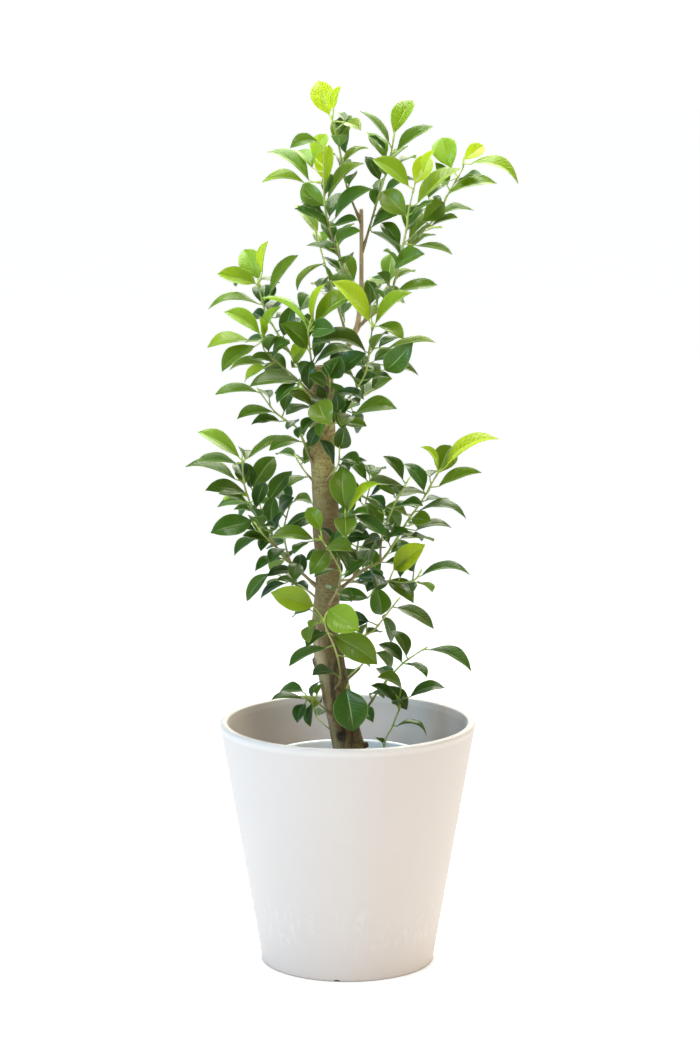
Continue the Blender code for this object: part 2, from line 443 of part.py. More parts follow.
class Leaf:
    # Where one blade stands: root on the stem, foot and reach of the blade, its upper side and sizes
    def __init__(self, root, foot, reach, seenWidth, rise):
        self.root = root
        self.foot = foot
        self.length = reach.length
        self.along = reach.normalized()
        self.width = max(widthOfLength * self.length, seenWidth)
        self.rise = rise
        self.view = (foot - viewpoint).normalized()
        self.upper = self.facing(seenWidth)

    def facing(self, seenWidth):
        flat = self.along.cross(self.view).normalized()
        deep = self.along.cross(flat)
        share = min(1.0, seenWidth / self.width)
        tilt = math.sqrt(1 - share * share)
        choices = [(deep * share - flat * tilt * s) * t for s in (1, -1) for t in (1, -1)]
        return max(choices, key=lambda n: n.z - 1.5 * share * n.dot(self.view))

    def swung(self, lean, sideways, roll):
        # Turned about its foot: lean is towards or away from the front, sideways is within the front view
        copy = object.__new__(Leaf)
        copy.__dict__.update(self.__dict__)
        hinge = self.view.cross(self.along).normalized()
        turn = Quaternion(hinge, math.radians(lean)) @ Quaternion(self.view, math.radians(sideways))
        copy.along = turn @ self.along
        copy.upper = Quaternion(copy.along, math.radians(roll)) @ (turn @ self.upper)
        return copy

    def section(self, share, halfWidth, half):
        # Left edge, upper rib, right edge and lower rib across the blade
        right = self.along.cross(self.upper)
        bow = 4 * share * (1 - share) * self.rise * self.length
        middle = self.foot + self.along * (share * self.length) + self.upper * bow
        edge = self.upper * (halfWidth * foldRise)
        return [middle - right * halfWidth + edge, middle + self.upper * half,
                middle + right * halfWidth + edge, middle - self.upper * half]

    def mesh(self, spread=0.0, blade=False):
        half = leafThickness / 2 + spread
        stations = longStations if self.length > longLeaf else shortStations
        rings = []
        stalk = (self.foot - self.root).normalized()
        bend = (stalk + self.along).normalized()
        right = self.along.cross(self.upper)
        acrossFoot = (right - bend * right.dot(bend)).normalized()
        aboveFoot = acrossFoot.cross(bend)
        if not blade:
            across = (acrossFoot - stalk * acrossFoot.dot(stalk)).normalized()
            above = across.cross(stalk)
            size = petioleHalf + spread
            rings.append([self.root - across * size, self.root + above * size,
                          self.root + across * size, self.root - above * size])
        size = petioleHalf + spread
        rings.append([self.foot - acrossFoot * size, self.foot + aboveFoot * size,
                      self.foot + acrossFoot * size, self.foot - aboveFoot * size])
        for share, wide in stations:
            rings.append(self.section(share, self.width / 2 * wide + spread, half))
        verts = [p for ring in rings for p in ring]
        verts.append(self.foot + self.along * (self.length + spread))
        faces = [(0, 1, 2), (0, 2, 3)]
        for i in range(len(rings) - 1):
            a = 4 * i
            b = a + 4
            faces += [(a, b + 1, a + 1), (a, b, b + 1), (a + 1, b + 2, a + 2), (a + 1, b + 1, b + 2),
                      (a + 2, b + 2, b + 3), (a + 2, b + 3, a + 3), (a + 3, b + 3, b), (a + 3, b, a)]
        last = 4 * (len(rings) - 1)
        tip = len(verts) - 1
        faces += [(last + j, tip, last + (j + 1) % 4) for j in range(4)]
        return verts, faces


def readLeaf(row, line):
    x, z, across, back, up, seenWidth, tone = row[:7]
    rise = row[7] if len(row) > 7 else archRise
    target = Vector((x, 0, z)) - Vector((across, 0, up)).normalized() * petioleSeen
    root = nearest(target, [p for p, radius in line], firstLeaf)
    depth = root.y + leafInsert * back
    foot = atDepth(x, z, depth)
    reach = atDepth(x + across, z + up, depth + back) - foot
    ahead = (foot - root).dot(reach.normalized())
    if ahead < leastAhead:
        foot += reach.normalized() * (leastAhead - ahead)
    return Leaf(root, foot, reach, seenWidth, rise)


# The swings tried for a leaf that would touch something, the smallest first
swings = sorted(((lean, sideways, roll) for lean in range(-56, 57, 8) for sideways in range(-18, 19, 6)
                 for roll in range(-45, 46, 15)),
                key=lambda s: (abs(s[0]) / 10 + abs(s[1]) / 4 + abs(s[2]) / 8, s))


class Thicket:
    # What is already in place, so that each new leaf stands clear of it
    def __init__(self):
        self.placed = []

    def add(self, owner, kind, verts, faces):
        low = [min(v[i] for v in verts) for i in range(3)]
        high = [max(v[i] for v in verts) for i in range(3)]
        self.placed.append((owner, kind, low, high, BVHTree.FromPolygons(verts, faces)))

    def touches(self, owner, whole, blade):
        low = [min(v[i] for v in whole[0]) for i in range(3)]
        high = [max(v[i] for v in whole[0]) for i in range(3)]
        wholeTree = BVHTree.FromPolygons(*whole)
        bladeTree = BVHTree.FromPolygons(*blade)
        for other, kind, otherLow, otherHigh, tree in self.placed:
            if any(low[i] > otherHigh[i] or high[i] < otherLow[i] for i in range(3)):
                continue
            mine = bladeTree if other == owner else wholeTree
            if mine.overlap(tree):
                return True
        return False

    def settle(self, owner, leaf):
        for size in (1.0, 0.85):
            leaf.length *= size
            leaf.width *= size
            for swing in swings:
                trial = leaf.swung(*swing)
                if not self.touches(owner, trial.mesh(clearance), trial.mesh(clearance, blade=True)):
                    break
            else:
                continue
            break
        else:
            trial = leaf
        self.add(owner, "leaf", *trial.mesh(0.0, blade=True))
        return trial


# Blender objects

def material(name, colour, roughness):
    made = bpy.data.materials.new(name)
    made.use_nodes = True
    shader = made.node_tree.nodes["Principled BSDF"]
    shader.inputs["Base Color"].default_value = (*colour, 1)
    shader.inputs["Roughness"].default_value = roughness
    shader.inputs["Metallic"].default_value = 0.0
    made.diffuse_color = (*colour, 1)
    return made


def addObject(name, shape, finish=None, smooth=True):
    verts, faces = shape
    mesh = bpy.data.meshes.new(name)
    mesh.from_pydata([v * mm for v in verts], [], faces)
    mesh.update()
    if smooth:
        mesh.shade_smooth()
        mesh.set_sharp_from_angle(angle=math.radians(35))
    if finish:
        mesh.materials.append(finish)
    made = bpy.data.objects.new(name, mesh)
    bpy.context.scene.collection.objects.link(made)
    return made


def boolean(target, others, operation, solver="EXACT"):
    group = bpy.data.collections.new(target.name + "_others")
    for other in others:
        bpy.context.scene.collection.objects.unlink(other)
        group.objects.link(other)
    bpy.context.scene.collection.children.link(group)
    cut = target.modifiers.new("cut", "BOOLEAN")
    cut.operation = operation
    cut.operand_type = "COLLECTION"
    cut.collection = group
    cut.solver = solver
    view = bpy.context.evaluated_depsgraph_get()
    mesh = bpy.data.meshes.new_from_object(target.evaluated_get(view))
    old = target.data
    target.modifiers.clear()
    target.data = mesh
    bpy.data.meshes.remove(old)
    mesh.name = target.name
    for other in others:
        bpy.data.objects.remove(other)
    bpy.data.collections.remove(group)
    return target


# The pots

def planterProfile():
    p = planter
    slope = (p["rimRadius"] - p["baseRadius"]) / p["height"]

    def outer(z):
        return p["baseRadius"] + slope * z

    top = p["height"]
    lip = p["lip"]
    return [
        (0, 0), (outer(0) - p["edge"], 0), (outer(1.2) - 1.2, 1.2), (outer(p["edge"]), p["edge"]),
        (outer(top - 4), top - 4), (outer(top) - 1.4, top - 1.2), (outer(top) - 4, top),
        (outer(top) - lip + 2.5, top), (outer(top) - lip, top - 2.5), (outer(top - 12) - lip, top - 12),
        (outer(p["floor"] + 8) - p["wall"], p["floor"] + 8),
        (outer(p["floor"]) - p["wall"] - 6, p["floor"]),
        (0, p["floor"])]


def makePlanter():
    body = addObject("planter", turned(planterProfile(), planter["sides"]),
                     material("white_resin", (0.86, 0.85, 0.83), 0.45))
    cutters = []
    for i in range(drain["count"]):
        angle = math.radians(drain["turn"] + 360 * i / drain["count"])
        out = Vector((math.cos(angle), math.sin(angle), 0))
        across = Vector((-out.y, out.x, 0))
        hole = out * drain["ring"]
        cutters.append(addObject(f"drain_hole_{i}", tube(
            [(hole + Vector((0, 0, -1)), drain["holeRadius"]),
             (hole + Vector((0, 0, planter["floor"] + 1)), drain["holeRadius"])], 10)))
        near = out * (drain["ring"] - 1)
        far = out * (planter["baseRadius"] + 3)
        half = across * (drain["grooveWidth"] / 2)
        low = Vector((0, 0, -1))
        high = Vector((0, 0, drain["grooveHeight"]))
        corners = [near - half, far - half, far + half, near + half]
        verts = [c + low for c in corners] + [c + high for c in corners]
        faces = [(3, 2, 1, 0), (4, 5, 6, 7)]
        faces += [(j, (j + 1) % 4, 4 + (j + 1) % 4, 4 + j) for j in range(4)]
        cutters.append(addObject(f"drain_groove_{i}", (verts, faces), smooth=False))
    return boolean(body, cutters, "DIFFERENCE")


def innerOuter(z):
    base = planter["floor"] + seatGap
    share = (z - base) / (innerPot["top"] - innerPot["lipDrop"] - base)
    return innerPot["baseRadius"] + (innerPot["lipRadius"] - 4 - innerPot["baseRadius"]) * share


def makeInnerPot():
    p = innerPot
    base = planter["floor"] + seatGap
    lipBase = p["top"] - p["lipDrop"]
    wall = p["wall"]
    profile = [
        (0, base), (p["baseRadius"] - 3, base), (p["baseRadius"], base + 3),
        (innerOuter(lipBase), lipBase), (p["lipRadius"], lipBase + 1),
        (p["lipRadius"] + 0.6, p["top"] - 5),
        (p["rimRadius"], p["top"] - 4), (p["rimRadius"], p["top"] - 1), (p["rimRadius"] - 1, p["top"]),
        (p["lipRadius"] - 2, p["top"]), (p["lipRadius"] - 3, p["top"] - 2),
        (innerOuter(lipBase) - wall, lipBase - 2),
        (p["baseRadius"] - wall, base + 5), (p["baseRadius"] - wall - 3, base + 3), (0, base + 3)]
    return addObject("inner_pot", turned(profile, p["sides"]),
                     material("white_pot", (0.85, 0.86, 0.86), 0.4))


def makeSoil():
    base = planter["floor"] + seatGap + 3 + seatGap
    gap = innerPot["wall"] + 1.2
    top = soil["top"]
    profile = [(0, base), (innerPot["baseRadius"] - gap - 3, base),
               (innerPot["baseRadius"] - gap, base + 4),
               (innerOuter(top - 4) - gap, top - 4), (innerOuter(top) - gap - 6, top),
               (45, top + 0.7 * soil["crown"]), (0, top + soil["crown"])]
    body = addObject("soil", turned(profile, soil["sides"]),
                     material("potting_soil", (0.09, 0.06, 0.04), 0.95))
    trunkHole = [(Vector(p[:3]) - Vector((0, 0, seatGap)), p[3] + seatGap) for p in trunkLine[:3]]
    sucker = deepRoute(shoots[-1][3], None)
    radius = shoots[-1][2] + seatGap
    suckerHole = [(sucker[0] - Vector((0, 0, seatGap)), radius), (sucker[1], radius)]
    cutters = [addObject("trunk_hole", tube(trunkHole, trunkSides)),
               addObject("sucker_hole", tube(suckerHole, 6))]
    return boolean(body, cutters, "DIFFERENCE")


# The plant

def makePlant():
    bark = material("bark", (0.30, 0.22, 0.14), 0.85)
    trunk = spaced(trunkLine)
    leader = spaced(leaderLine)
    routes = {}
    lines = {}
    collars = {"trunk": []}
    carriersFirst = sorted(shoots, key=lambda s: s[1] not in ("trunk", "soil"))
    for name, carrier, radius, table, leaves in carriersFirst:
        route = deepRoute(table, routes.get(carrier))
        routes[name] = route
        if carrier == "soil":
            lines[name] = shootLine(route[0], radius, route)
            continue
        carriers = [trunk, leader] if carrier == "trunk" else [lines[carrier]]
        end, direction = collarEnd(route, radius, carriers)
        collars.setdefault(carrier, []).append((route[0], end, radius))
        start = end + direction * seatGap
        lines[name] = shootLine(start, radius, route)

    thicket = Thicket()
    trunkParts = [tube(trunk, trunkSides), tube(leader, 8)]
    trunkParts += [tube([(Vector(a), ra), (Vector(b), rb)], 8) for a, b, ra, rb in stubs]
    trunkParts += [tube([(a, r), (b, r)], stemSides) for a, b, r in collars["trunk"]]
    for part in trunkParts:
        thicket.add("trunk", "wood", *part)
    stems = {}
    for name, carrier, radius, route, leaves in shoots:
        stems[name] = tube(lines[name], stemSides, budLength)
        thicket.add(name, "stem", *stems[name])
        for a, b, r in collars.get(name, []):
            thicket.add(name, "stem", *tube([(a, r), (b, r)], stemSides))

    made = [addObject("part", part) for part in trunkParts]
    made[0].name = "trunk"
    made[0].data.materials.append(bark)
    boolean(made[0], made[1:], "UNION")

    for name, carrier, radius, route, leaves in shoots:
        tone = sum(row[6] for row in leaves) / len(leaves)
        green = (0.03 + 0.22 * tone, 0.11 + 0.34 * tone, 0.02 + 0.02 * tone)
        body = addObject(name, stems[name], material("leaf_" + name, green, 0.4))
        parts = [addObject("part", tube([(a, r), (b, r)], stemSides))
                 for a, b, r in collars.get(name, [])]
        for row in leaves:
            leaf = thicket.settle(name, readLeaf(row, lines[name]))
            parts.append(addObject("part", leaf.mesh()))
        boolean(body, parts, "UNION")


for item in list(bpy.data.objects):
    bpy.data.objects.remove(item)
makePlanter()
makeInnerPot()
makeSoil()
makePlant()
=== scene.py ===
# The finish of a potted Chinese banyan: leaves, stems, bark, soil and both pots,
# each made as a fine mesh where its plain solid stands in the frame.
# Lengths in the tables are millimetres: x to the right, y to the back, z up.

import json
import math
import random

import bpy
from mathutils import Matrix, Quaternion, Vector, noise
from mathutils.bvhtree import BVHTree

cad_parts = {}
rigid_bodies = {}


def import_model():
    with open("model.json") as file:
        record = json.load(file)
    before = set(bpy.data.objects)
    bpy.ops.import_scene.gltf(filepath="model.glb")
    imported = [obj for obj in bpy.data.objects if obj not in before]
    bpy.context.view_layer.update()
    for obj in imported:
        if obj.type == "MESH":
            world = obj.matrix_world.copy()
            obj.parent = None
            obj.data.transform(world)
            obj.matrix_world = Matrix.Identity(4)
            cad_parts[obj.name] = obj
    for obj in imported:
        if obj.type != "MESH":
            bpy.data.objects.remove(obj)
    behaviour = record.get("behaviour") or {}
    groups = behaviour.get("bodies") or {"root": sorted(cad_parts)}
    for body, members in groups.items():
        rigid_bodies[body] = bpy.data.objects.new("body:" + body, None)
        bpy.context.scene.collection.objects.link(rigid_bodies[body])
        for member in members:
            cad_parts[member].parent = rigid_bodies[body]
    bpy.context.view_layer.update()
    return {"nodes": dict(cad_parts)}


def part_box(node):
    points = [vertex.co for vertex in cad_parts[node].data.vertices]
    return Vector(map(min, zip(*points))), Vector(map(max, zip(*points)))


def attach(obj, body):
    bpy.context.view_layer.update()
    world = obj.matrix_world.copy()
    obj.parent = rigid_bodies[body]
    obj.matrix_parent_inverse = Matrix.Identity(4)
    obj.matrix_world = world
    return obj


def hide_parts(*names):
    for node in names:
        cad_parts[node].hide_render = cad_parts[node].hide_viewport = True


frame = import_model()
print("frame loaded:", len(frame["nodes"]), "nodes")

mm = 0.001
seatGap = 0.3  # between two solids that touch on the real plant

# Trunk and woody leader: x, y, z and radius
trunkLine = [
    (10, 0, 206, 20.5), (3, 0, 262, 20.0), (-7, 1, 308, 18.6), (-15, 2, 344, 18.1),
    (-23, 3, 388, 18.1), (-28, 2, 414, 16.3), (-27, 0, 445, 16.0), (-24, -1, 479, 15.9),
    (-25, 0, 518, 15.6), (-27, 1, 544, 16.3), (-27, 2, 572, 16.3), (-30, 2, 601, 14.4),
    (-30.5, 1, 661, 15.6), (-31.5, 0, 688, 15.6), (-31.5, 0, 727, 15.0), (-34, 0, 743, 12.5),
    (-35, 0, 750, 8.5),
]
leaderLine = [
    (-24, 2, 730, 4.6), (-8, 3, 759, 4.2), (-1, 3, 771, 3.9), (7, 3, 787, 3.6), (13, 3, 805, 3.4),
    (16.5, 4, 840, 3.1), (17, 4, 888, 2.9), (16.7, 4, 942, 2.6),
]
# Pruned stubs and swellings on the trunk: from, to, and the two radii
stubs = [
    ((-28, -2, 416), (-46, -6, 426), 6.5, 4.5),
    ((-24, 2, 384), (-42, 0, 378), 8.0, 5.5),
    ((-7, -2, 300), (3, -19, 296), 9.0, 7.0),
    ((6, 0, 266), (25, -4, 276), 8.0, 3.5),
    ((-30, 0, 716), (-30, -16, 722), 8.5, 7.0),
    ((-20, 2, 745), (-5, -2, 770), 3.4, 2.8),
]
trunkSides = 12
stubSides = 8  # the leader's too
stemSides = 5
stemTip = 1.1
budLength = 7.0

leafThickness = 1.3
petioleHalf = 0.65
petioleSeen = 9.0  # the usual length of a petiole from the front
leafInsert = 0.25  # how far to the front or back a petiole goes, as a share of its blade
leastAhead = 5.0
firstLeaf = 0.12  # no leaf below this share of a stem's first stretch
widthOfLength = 0.56
foldRise = 0.30  # rise of a blade's edges over its rib, as a share of the half-width
archRise = 0.07  # the same for its bow, as a share of its length
clearance = 0.4  # kept between a leaf and whatever else is near
smallerLeaf = 0.85  # its size where no swing is free
frontFirst = 1.5  # how much a blade's upper side would rather face the front than the sky
collarHeight = 0.5
collarStep = 0.25
longLeaf = 62.0  # from this length a blade has three stations
viewpoint = Vector((3.0, -3880.0, 1200.0))
seeds = dict(leaves=11, innerLeaves=23, soil=5)
spreading = 2.0  # how much further out to the front or back a stem's end stands than its table says

# Half-widths along the blade as (share of the length, share of the half-width)
longStations = ((0.20, 0.74), (0.50, 1.00), (0.80, 0.62))
shortStations = ((0.31, 0.92), (0.70, 0.84))

# Each leafy shoot: its name, what carries it, its radius where it starts, the route of its stem,
# and its leaves. The first point of a route lies inside the carrier.
# A leaf is x and z of the blade's foot, then how far across, back and up its tip lies from there,
# the width seen from the front, its age tone (0 dark and old, 1 lime and new),
# and for a strongly bowed leaf its rise as a share of its length.
shoots = [
    ("shoot_01", "trunk", 2.0, [(16.7, 4, 924), (5.4, 2, 951), (-4, 0, 980), (-9, -2, 1010),
        (-18, -4, 1047)], [
        (-22, 1055, -13, 15, 41, 29, .85), (-17, 1061, 9, -8, 28, 11, 1), (-2, 1046, -14, 25, 12, 8, .2),
        (-10, 1017, -1, 25, 34, 24, .45), (-2, 1008, 5, 20, 35, 10, .25), (-2, 1046, 17, -30, -7, 15, .55),
        (-5, 998, 28, 15, 19, 6, .5), (-9, 994, -7, 22, 15, 6, .15)]),
    ("shoot_02", "shoot_03", 1.7, [(-5.9, -2, 873), (-17, -6, 901), (-27, -8, 940), (-29, -8, 975),
        (-28.5, -8, 1012)], [
        (-28, 945, -26, 20, 26, 25, .5), (-52, 973, -51, 8, 0, 10, .55), (-47, 976, -48, 5, 35, 18, .5),
        (-43, 991, -21, 30, 21, 15, .6), (-26, 973, 2, 16, 46, 24, .85), (-41, 1002, 15, 20, 29, 19, .9),
        (-24, 1026, -33, -4, -8, 15, .4, .2), (-24, 954, 41, 6, 44, 11, .4), (-22, 932, 24, 30, 30, 15, .2),
        (-15, 930, 46, 10, 40, 15, .3), (-18, 920, 30, -25, 8, 11, .25), (-22, 918, -49, -5, 27, 18, .3)]),
    ("shoot_03", "trunk", 2.0, [(16.2, 4, 824), (3, 1, 856), (-5.9, -2, 873), (-12, -4, 897)], [
        (-14, 898, 2, 35, 22, 20, .35), (-12, 899, 19, 20, 23, 5, .45), (-11, 898, 26, -25, 17, 8, .4),
        (-12, 885, -37, 20, 12, 10, .2), (-22, 893, 7, -25, 7, 8, .3), (8, 854, -15, 30, 30, 28, .4)]),
    ("shoot_04", "trunk", 2.0, [(2, 3, 776), (-8.4, 14, 811), (-16, 18, 835), (-25, 20, 866),
        (-36, 18, 904), (-38.4, 17, 913)], [
        (-37, 911, -26, 20, 37, 15, .35), (-28, 876, -33, -20, -31, 7, .4),
        (-25, 858, -10, -30, -13, 10, .2), (-20, 846, 22, 34, 14, 20, .25),
        (-12, 824, -20, 36, 18, 18, .2)]),
    ("shoot_05", "trunk", 1.9, [(16.8, 4, 886), (26, 3, 916), (34, 0, 944), (41, -2, 966), (52, -3, 1006),
        (56, -4, 1028)], [
        (56, 1032, 23, 18, 41, 23, .6), (50, 1022, -33, 10, 38, 9, .3), (46, 1002, -23, 20, 31, 18, .45),
        (60, 1012, 43, 8, 29, 12, .35), (54, 1001, 19, 25, 16, 6, .5), (61, 996, 20, 30, 9, 6, .35),
        (39, 962, 5, 30, 18, 11, .2), (23, 918, 37, -10, -27, 10, .3), (30, 920, 29, -28, 14, 15, .3)]),
    ("shoot_06", "trunk", 2.2, [(12.5, 3, 797), (49, -8, 829), (58, -12, 856), (64, -14, 880),
        (71.7, -16, 918), (74, -17, 938), (82, -18, 973)], [
        (82, 972, 17, 25, 33, 25, .85), (92, 985, 14, -4, 27, 10, .95), (71, 933, -29, 20, 29, 30, .5),
        (72, 915, 7, 35, 30, 28, .35), (75, 905, 40, 5, 33, 10, .5), (74, 890, 33, 25, 20, 11, .4),
        (84, 897, 43, -10, -9, 6, .55), (57, 869, 38, -25, 20, 19, .4), (60, 857, 22, 25, 8, 9, .5),
        (59, 840, 50, -8, 8, 11, .45), (74, 969, -43, -12, 32, 20, .55), (85, 948, 50, 12, 44, 16, .5)]),
    ("shoot_07", "trunk", 1.8, [(10, 3, 790), (30, 16, 822), (50, 22, 850)], [
        (51, 854, 4, 30, 33, 25, .35), (47, 854, -27, -25, -14, 11, .5), (47, 852, -23, 25, -20, 6, .2),
        (40, 838, 30, 32, -6, 18, .25), (28, 822, -16, 38, 8, 20, .2)]),
    ("shoot_08", "shoot_06", 1.6, [(65.3, -14.3, 886), (81, -9, 904), (103, -5, 926), (111, -4, 933),
        (118, -3, 952), (138, -2, 987), (140.4, -2, 996)], [
        (123, 975, -25, -30, -17, 15, .4), (118, 949, -26, -30, -21, 25, .45),
        (126, 991, -12, 20, 36, 32, .75), (141, 1001, 23, 20, 17, 19, .95),
        (149, 996, 58, 5, -23, 11, .6, .16), (122, 960, 57, -6, 14, 14, .5), (112, 934, 48, 10, 7, 9, .35),
        (98, 916, 16, 25, 2, 4, .6)]),
    ("shoot_09", "trunk", 2.2, [(-32, 0, 712), (-61, -3, 752), (-81, -5, 782), (-97, -6, 809),
        (-103.4, -7, 825), (-108.4, -7, 849)], [
        (-108, 857, -18, 20, 35, 30, .75), (-104, 864, 7, -8, 38, 10, 1), (-112, 851, -46, -10, 11, 20, .6),
        (-113, 851, -24, 30, -1, 5, .2), (-106, 856, 22, 28, -5, 6, .2), (-102, 824, 2, 30, 25, 31, .1),
        (-95, 837, 37, 0, 50, 11, .4), (-109, 826, -60, -5, -2, 8, .45), (-96, 815, 12, 35, 15, 18, .1),
        (-100, 806, -17, 30, 9, 16, .1), (-88, 809, 21, 28, 1, 8, .1), (-68, 752, 17, -25, 24, 18, .6),
        (-82, 794, 24, 30, 14, 16, .1)]),
    ("shoot_10", "trunk", 2.0, [(-32, -3, 700), (-60, -17, 731), (-87, -21, 755), (-102, -22, 769),
        (-103.5, -22, 783)], [
        (-107, 789, -41, -12, 28, 18, .8), (-102, 784, 18, -5, 39, 9, .75), (-103, 786, -4, -10, 26, 11, 1),
        (-119, 780, -52, -6, -4, 13, .65), (-113, 774, -41, -20, -29, 20, .45),
        (-102, 783, -22, 26, -3, 8, .15), (-102, 783, 20, 22, -2, 8, .15), (-91, 754, -26, -28, 6, 10, .4),
        (-91, 762, 18, -30, 16, 15, .3), (-101, 752, -44, 10, -4, 7, .45),
        (-100, 748, -28, 22, -16, 12, .8)]),
    ("shoot_11", "trunk", 1.9, [(-33, -2, 720), (-43, -22, 748), (-47, -26, 778), (-48, -27, 792),
        (-46, -27, 802)], [
        (-47, 795, -55, -8, 38, 6, .75, .15), (-49, 771, -30, -25, 30, 25, .35),
        (-42, 804, 13, -5, 46, 7, .95), (-40, 799, 48, -8, 39, 20, .55), (-41, 794, 26, -38, -1, 25, .25),
        (-58, 818, 14, 25, 25, 25, .25), (-42, 752, 47, -12, 17, 13, .3, .15)]),
    ("shoot_12", "trunk", 2.1, [(-31, -4, 682), (-3, -19, 705), (13, -24, 725), (23, -28, 745),
        (27, -30, 772), (30.4, -30, 797)], [
        (27, 804, -44, -10, 49, 24, .85), (34, 802, 42, -8, 39, 14, .55), (29, 808, 8, 22, 17, 10, .5),
        (38, 799, 30, -25, -15, 15, .55), (38, 772, 29, 20, 12, 9, .2), (50, 772, 56, -5, 9, 9, .5),
        (46, 744, 34, -20, 35, 30, .35), (31, 769, 17, -30, 22, 11, .3),
        (27, 766, -60, -12, 13, 18, .25, .2), (26, 752, 10, -30, -13, 13, .35),
        (48, 750, 38, 15, -12, 10, .3), (33, 756, 24, 24, 14, 16, .35), (18, 750, -30, 24, 4, 16, .12)]),
    ("shoot_13", "trunk", 1.8, [(-31, 3, 680), (3, 15, 703), (18, 18, 712), (33, 20, 722)], [
        (30, 721, 21, 28, 18, 19, .25), (33, 720, 21, -30, 14, 11, .5), (9, 690, 49, -20, 10, 19, .45),
        (20, 712, -4, 40, 22, 20, .2), (6, 704, -12, 42, -8, 20, .25), (6, 694, 8, 26, -26, 18, .12)]),
    ("shoot_14", "trunk", 1.6, [(-31, -3, 704), (-22, -22, 716), (-22, -26, 736)], [
        (-23, 735, 14, -24, 27, 28, .25), (-12, 737, 34, -15, 28, 19, .2), (-16, 716, 35, -30, -4, 13, .2),
        (-16, 741, 8, 12, 34, 20, .15), (-26, 728, -20, -26, 10, 16, .3),
        (-24, 742, -14, -28, 24, 16, .2)]),
    ("shoot_15", "trunk", 1.6, [(-31.5, -6, 692), (-47, -26, 712), (-56, -32, 725)], [
        (-52, 731, -60, -12, -3, 20, .25), (-63, 729, -28, -22, -27, 15, .25),
        (-44, 706, -25, -30, 7, 15, .3), (-48, 700, -27, -30, -11, 13, .4), (-61, 723, -13, -30, 6, 7, .55),
        (-57, 716, -26, 20, -2, 12, .35)]),
    ("shoot_16", "trunk", 2.1, [(-30, 0, 600), (-48, -6, 640), (-61, -9, 671), (-78, -10, 684),
        (-91, -10, 695), (-107, -10, 717)], [
        (-78, 693, 12, 22, 26, 15, .2), (-96, 710, -8, 30, 10, 11, .3), (-92, 693, -43, -15, -6, 15, .45),
        (-109, 718, -51, -5, -4, 10, .5), (-62, 684, -11, -28, -12, 9, .35),
        (-50, 680, -9, -28, -16, 9, .35), (-52, 658, -38, -15, -11, 13, .45)]),
    ("shoot_17", "trunk", 1.6, [(-31, -2, 676), (-35, -23, 690), (-37, -29, 702)], [
        (-37, 709, 13, -28, -27, 33, .55), (-32, 682, -1, -25, -20, 14, .45)]),
    ("shoot_18", "trunk", 1.6, [(-30, -2, 660), (-15, -20, 680), (-10, -25, 692)], [
        (-14, 697, 6, -30, -24, 15, .25), (6, 690, -15, -32, -15, 18, .35)]),
    ("shoot_19", "trunk", 1.6, [(-30, -4, 604), (-12, -19, 626), (-10, -22, 645)], [
        (-10, 647, 6, -24, 29, 23, .18), (-8, 634, 22, -34, -6, 16, .3)]),
    ("shoot_20", "trunk", 1.7, [(-30, 3, 592), (-54, 10, 621), (-62.5, 12, 635)], [
        (-63, 637, -24, 28, 3, 11, .35), (-60, 636, 7, 30, -7, 10, .3), (-52, 612, -20, -28, -11, 10, .4)]),
    ("shoot_21", "trunk", 2.6, [(-25, 0, 462), (-61, -2, 496), (-80, -2, 513), (-92, -2, 531),
        (-110, -3, 558), (-121, -4, 582), (-128, -5, 606), (-129.6, -5, 632)], [
        (-133, 636, -50, -8, 32, 18, .75), (-122, 636, 48, 5, 26, 10, .5), (-126, 634, -5, 38, 13, 15, .3),
        (-137, 629, -48, -18, 2, 11, .5), (-138, 609, -60, 5, 19, 9, .3), (-127, 593, -47, -20, 4, 18, .3),
        (-124, 588, -28, 25, -5, 6, .7), (-127, 611, -9, 32, 18, 18, .2),
        (-109, 536, -31, -20, -20, 12, .35), (-96, 541, -6, -32, -21, 18, .45),
        (-80, 510, -34, -20, -13, 11, .3), (-73, 525, -19, -30, -16, 13, .25),
        (-79, 508, -15, 28, -14, 11, .4), (-63, 504, -4, -30, -20, 20, .25)]),
    ("shoot_22", "shoot_21", 1.7, [(-91, -2, 529.5), (-97, 11, 555), (-105, 14, 568), (-109, 15, 580),
        (-114.6, 16, 592)], [
        (-118, 597, 27, 18, 39, 28, .2), (-98, 579, 29, 15, 40, 20, .2), (-120, 579, -16, 28, -13, 13, .3),
        (-122, 580, -39, 20, -5, 15, .3), (-118, 576, 18, -25, 2, 5, .45),
        (-119, 598, -14, -14, 32, 18, .15)]),
    ("shoot_23", "shoot_21", 1.5, [(-86, -2, 522), (-104, -16, 540), (-113, -20, 553)], [
        (-115, 558, -50, -15, -13, 28, .3), (-108, 548, -14, -34, 12, 16, .25)]),
    ("shoot_24", "shoot_21", 1.7, [(-71, -2, 505), (-76, 13, 524), (-79, 18, 545), (-72, 20, 575)], [
        (-88, 541, 37, -12, 20, 9, .3), (-72, 547, 31, 20, 9, 9, .15), (-88, 553, 20, 22, 28, 11, .35),
        (-71, 581, -13, 23, 23, 25, .1), (-66, 583, 25, 25, -5, 11, .3), (-78, 530, -20, 36, -4, 16, .25),
        (-84, 572, 16, -28, 14, 18, .06)]),
    ("shoot_25", "trunk", 1.8, [(-25, 4, 448), (-50, 14, 470), (-72, 18, 482), (-90, 18, 492)], [
        (-95, 493, -29, 5, -34, 15, .35), (-83, 485, -12, 28, -13, 11, .35),
        (-66, 480, -6, 38, 14, 18, .2)]),
    ("shoot_26", "trunk", 1.9, [(-27, -3, 444), (-12, -24, 472), (-8.4, -29, 492), (-14, -31, 506),
        (-25, -32, 524), (-32, -32, 534)], [
        (-43, 535, -50, -18, 1, 20, .5), (-48, 531, -18, -28, -15, 8, .35),
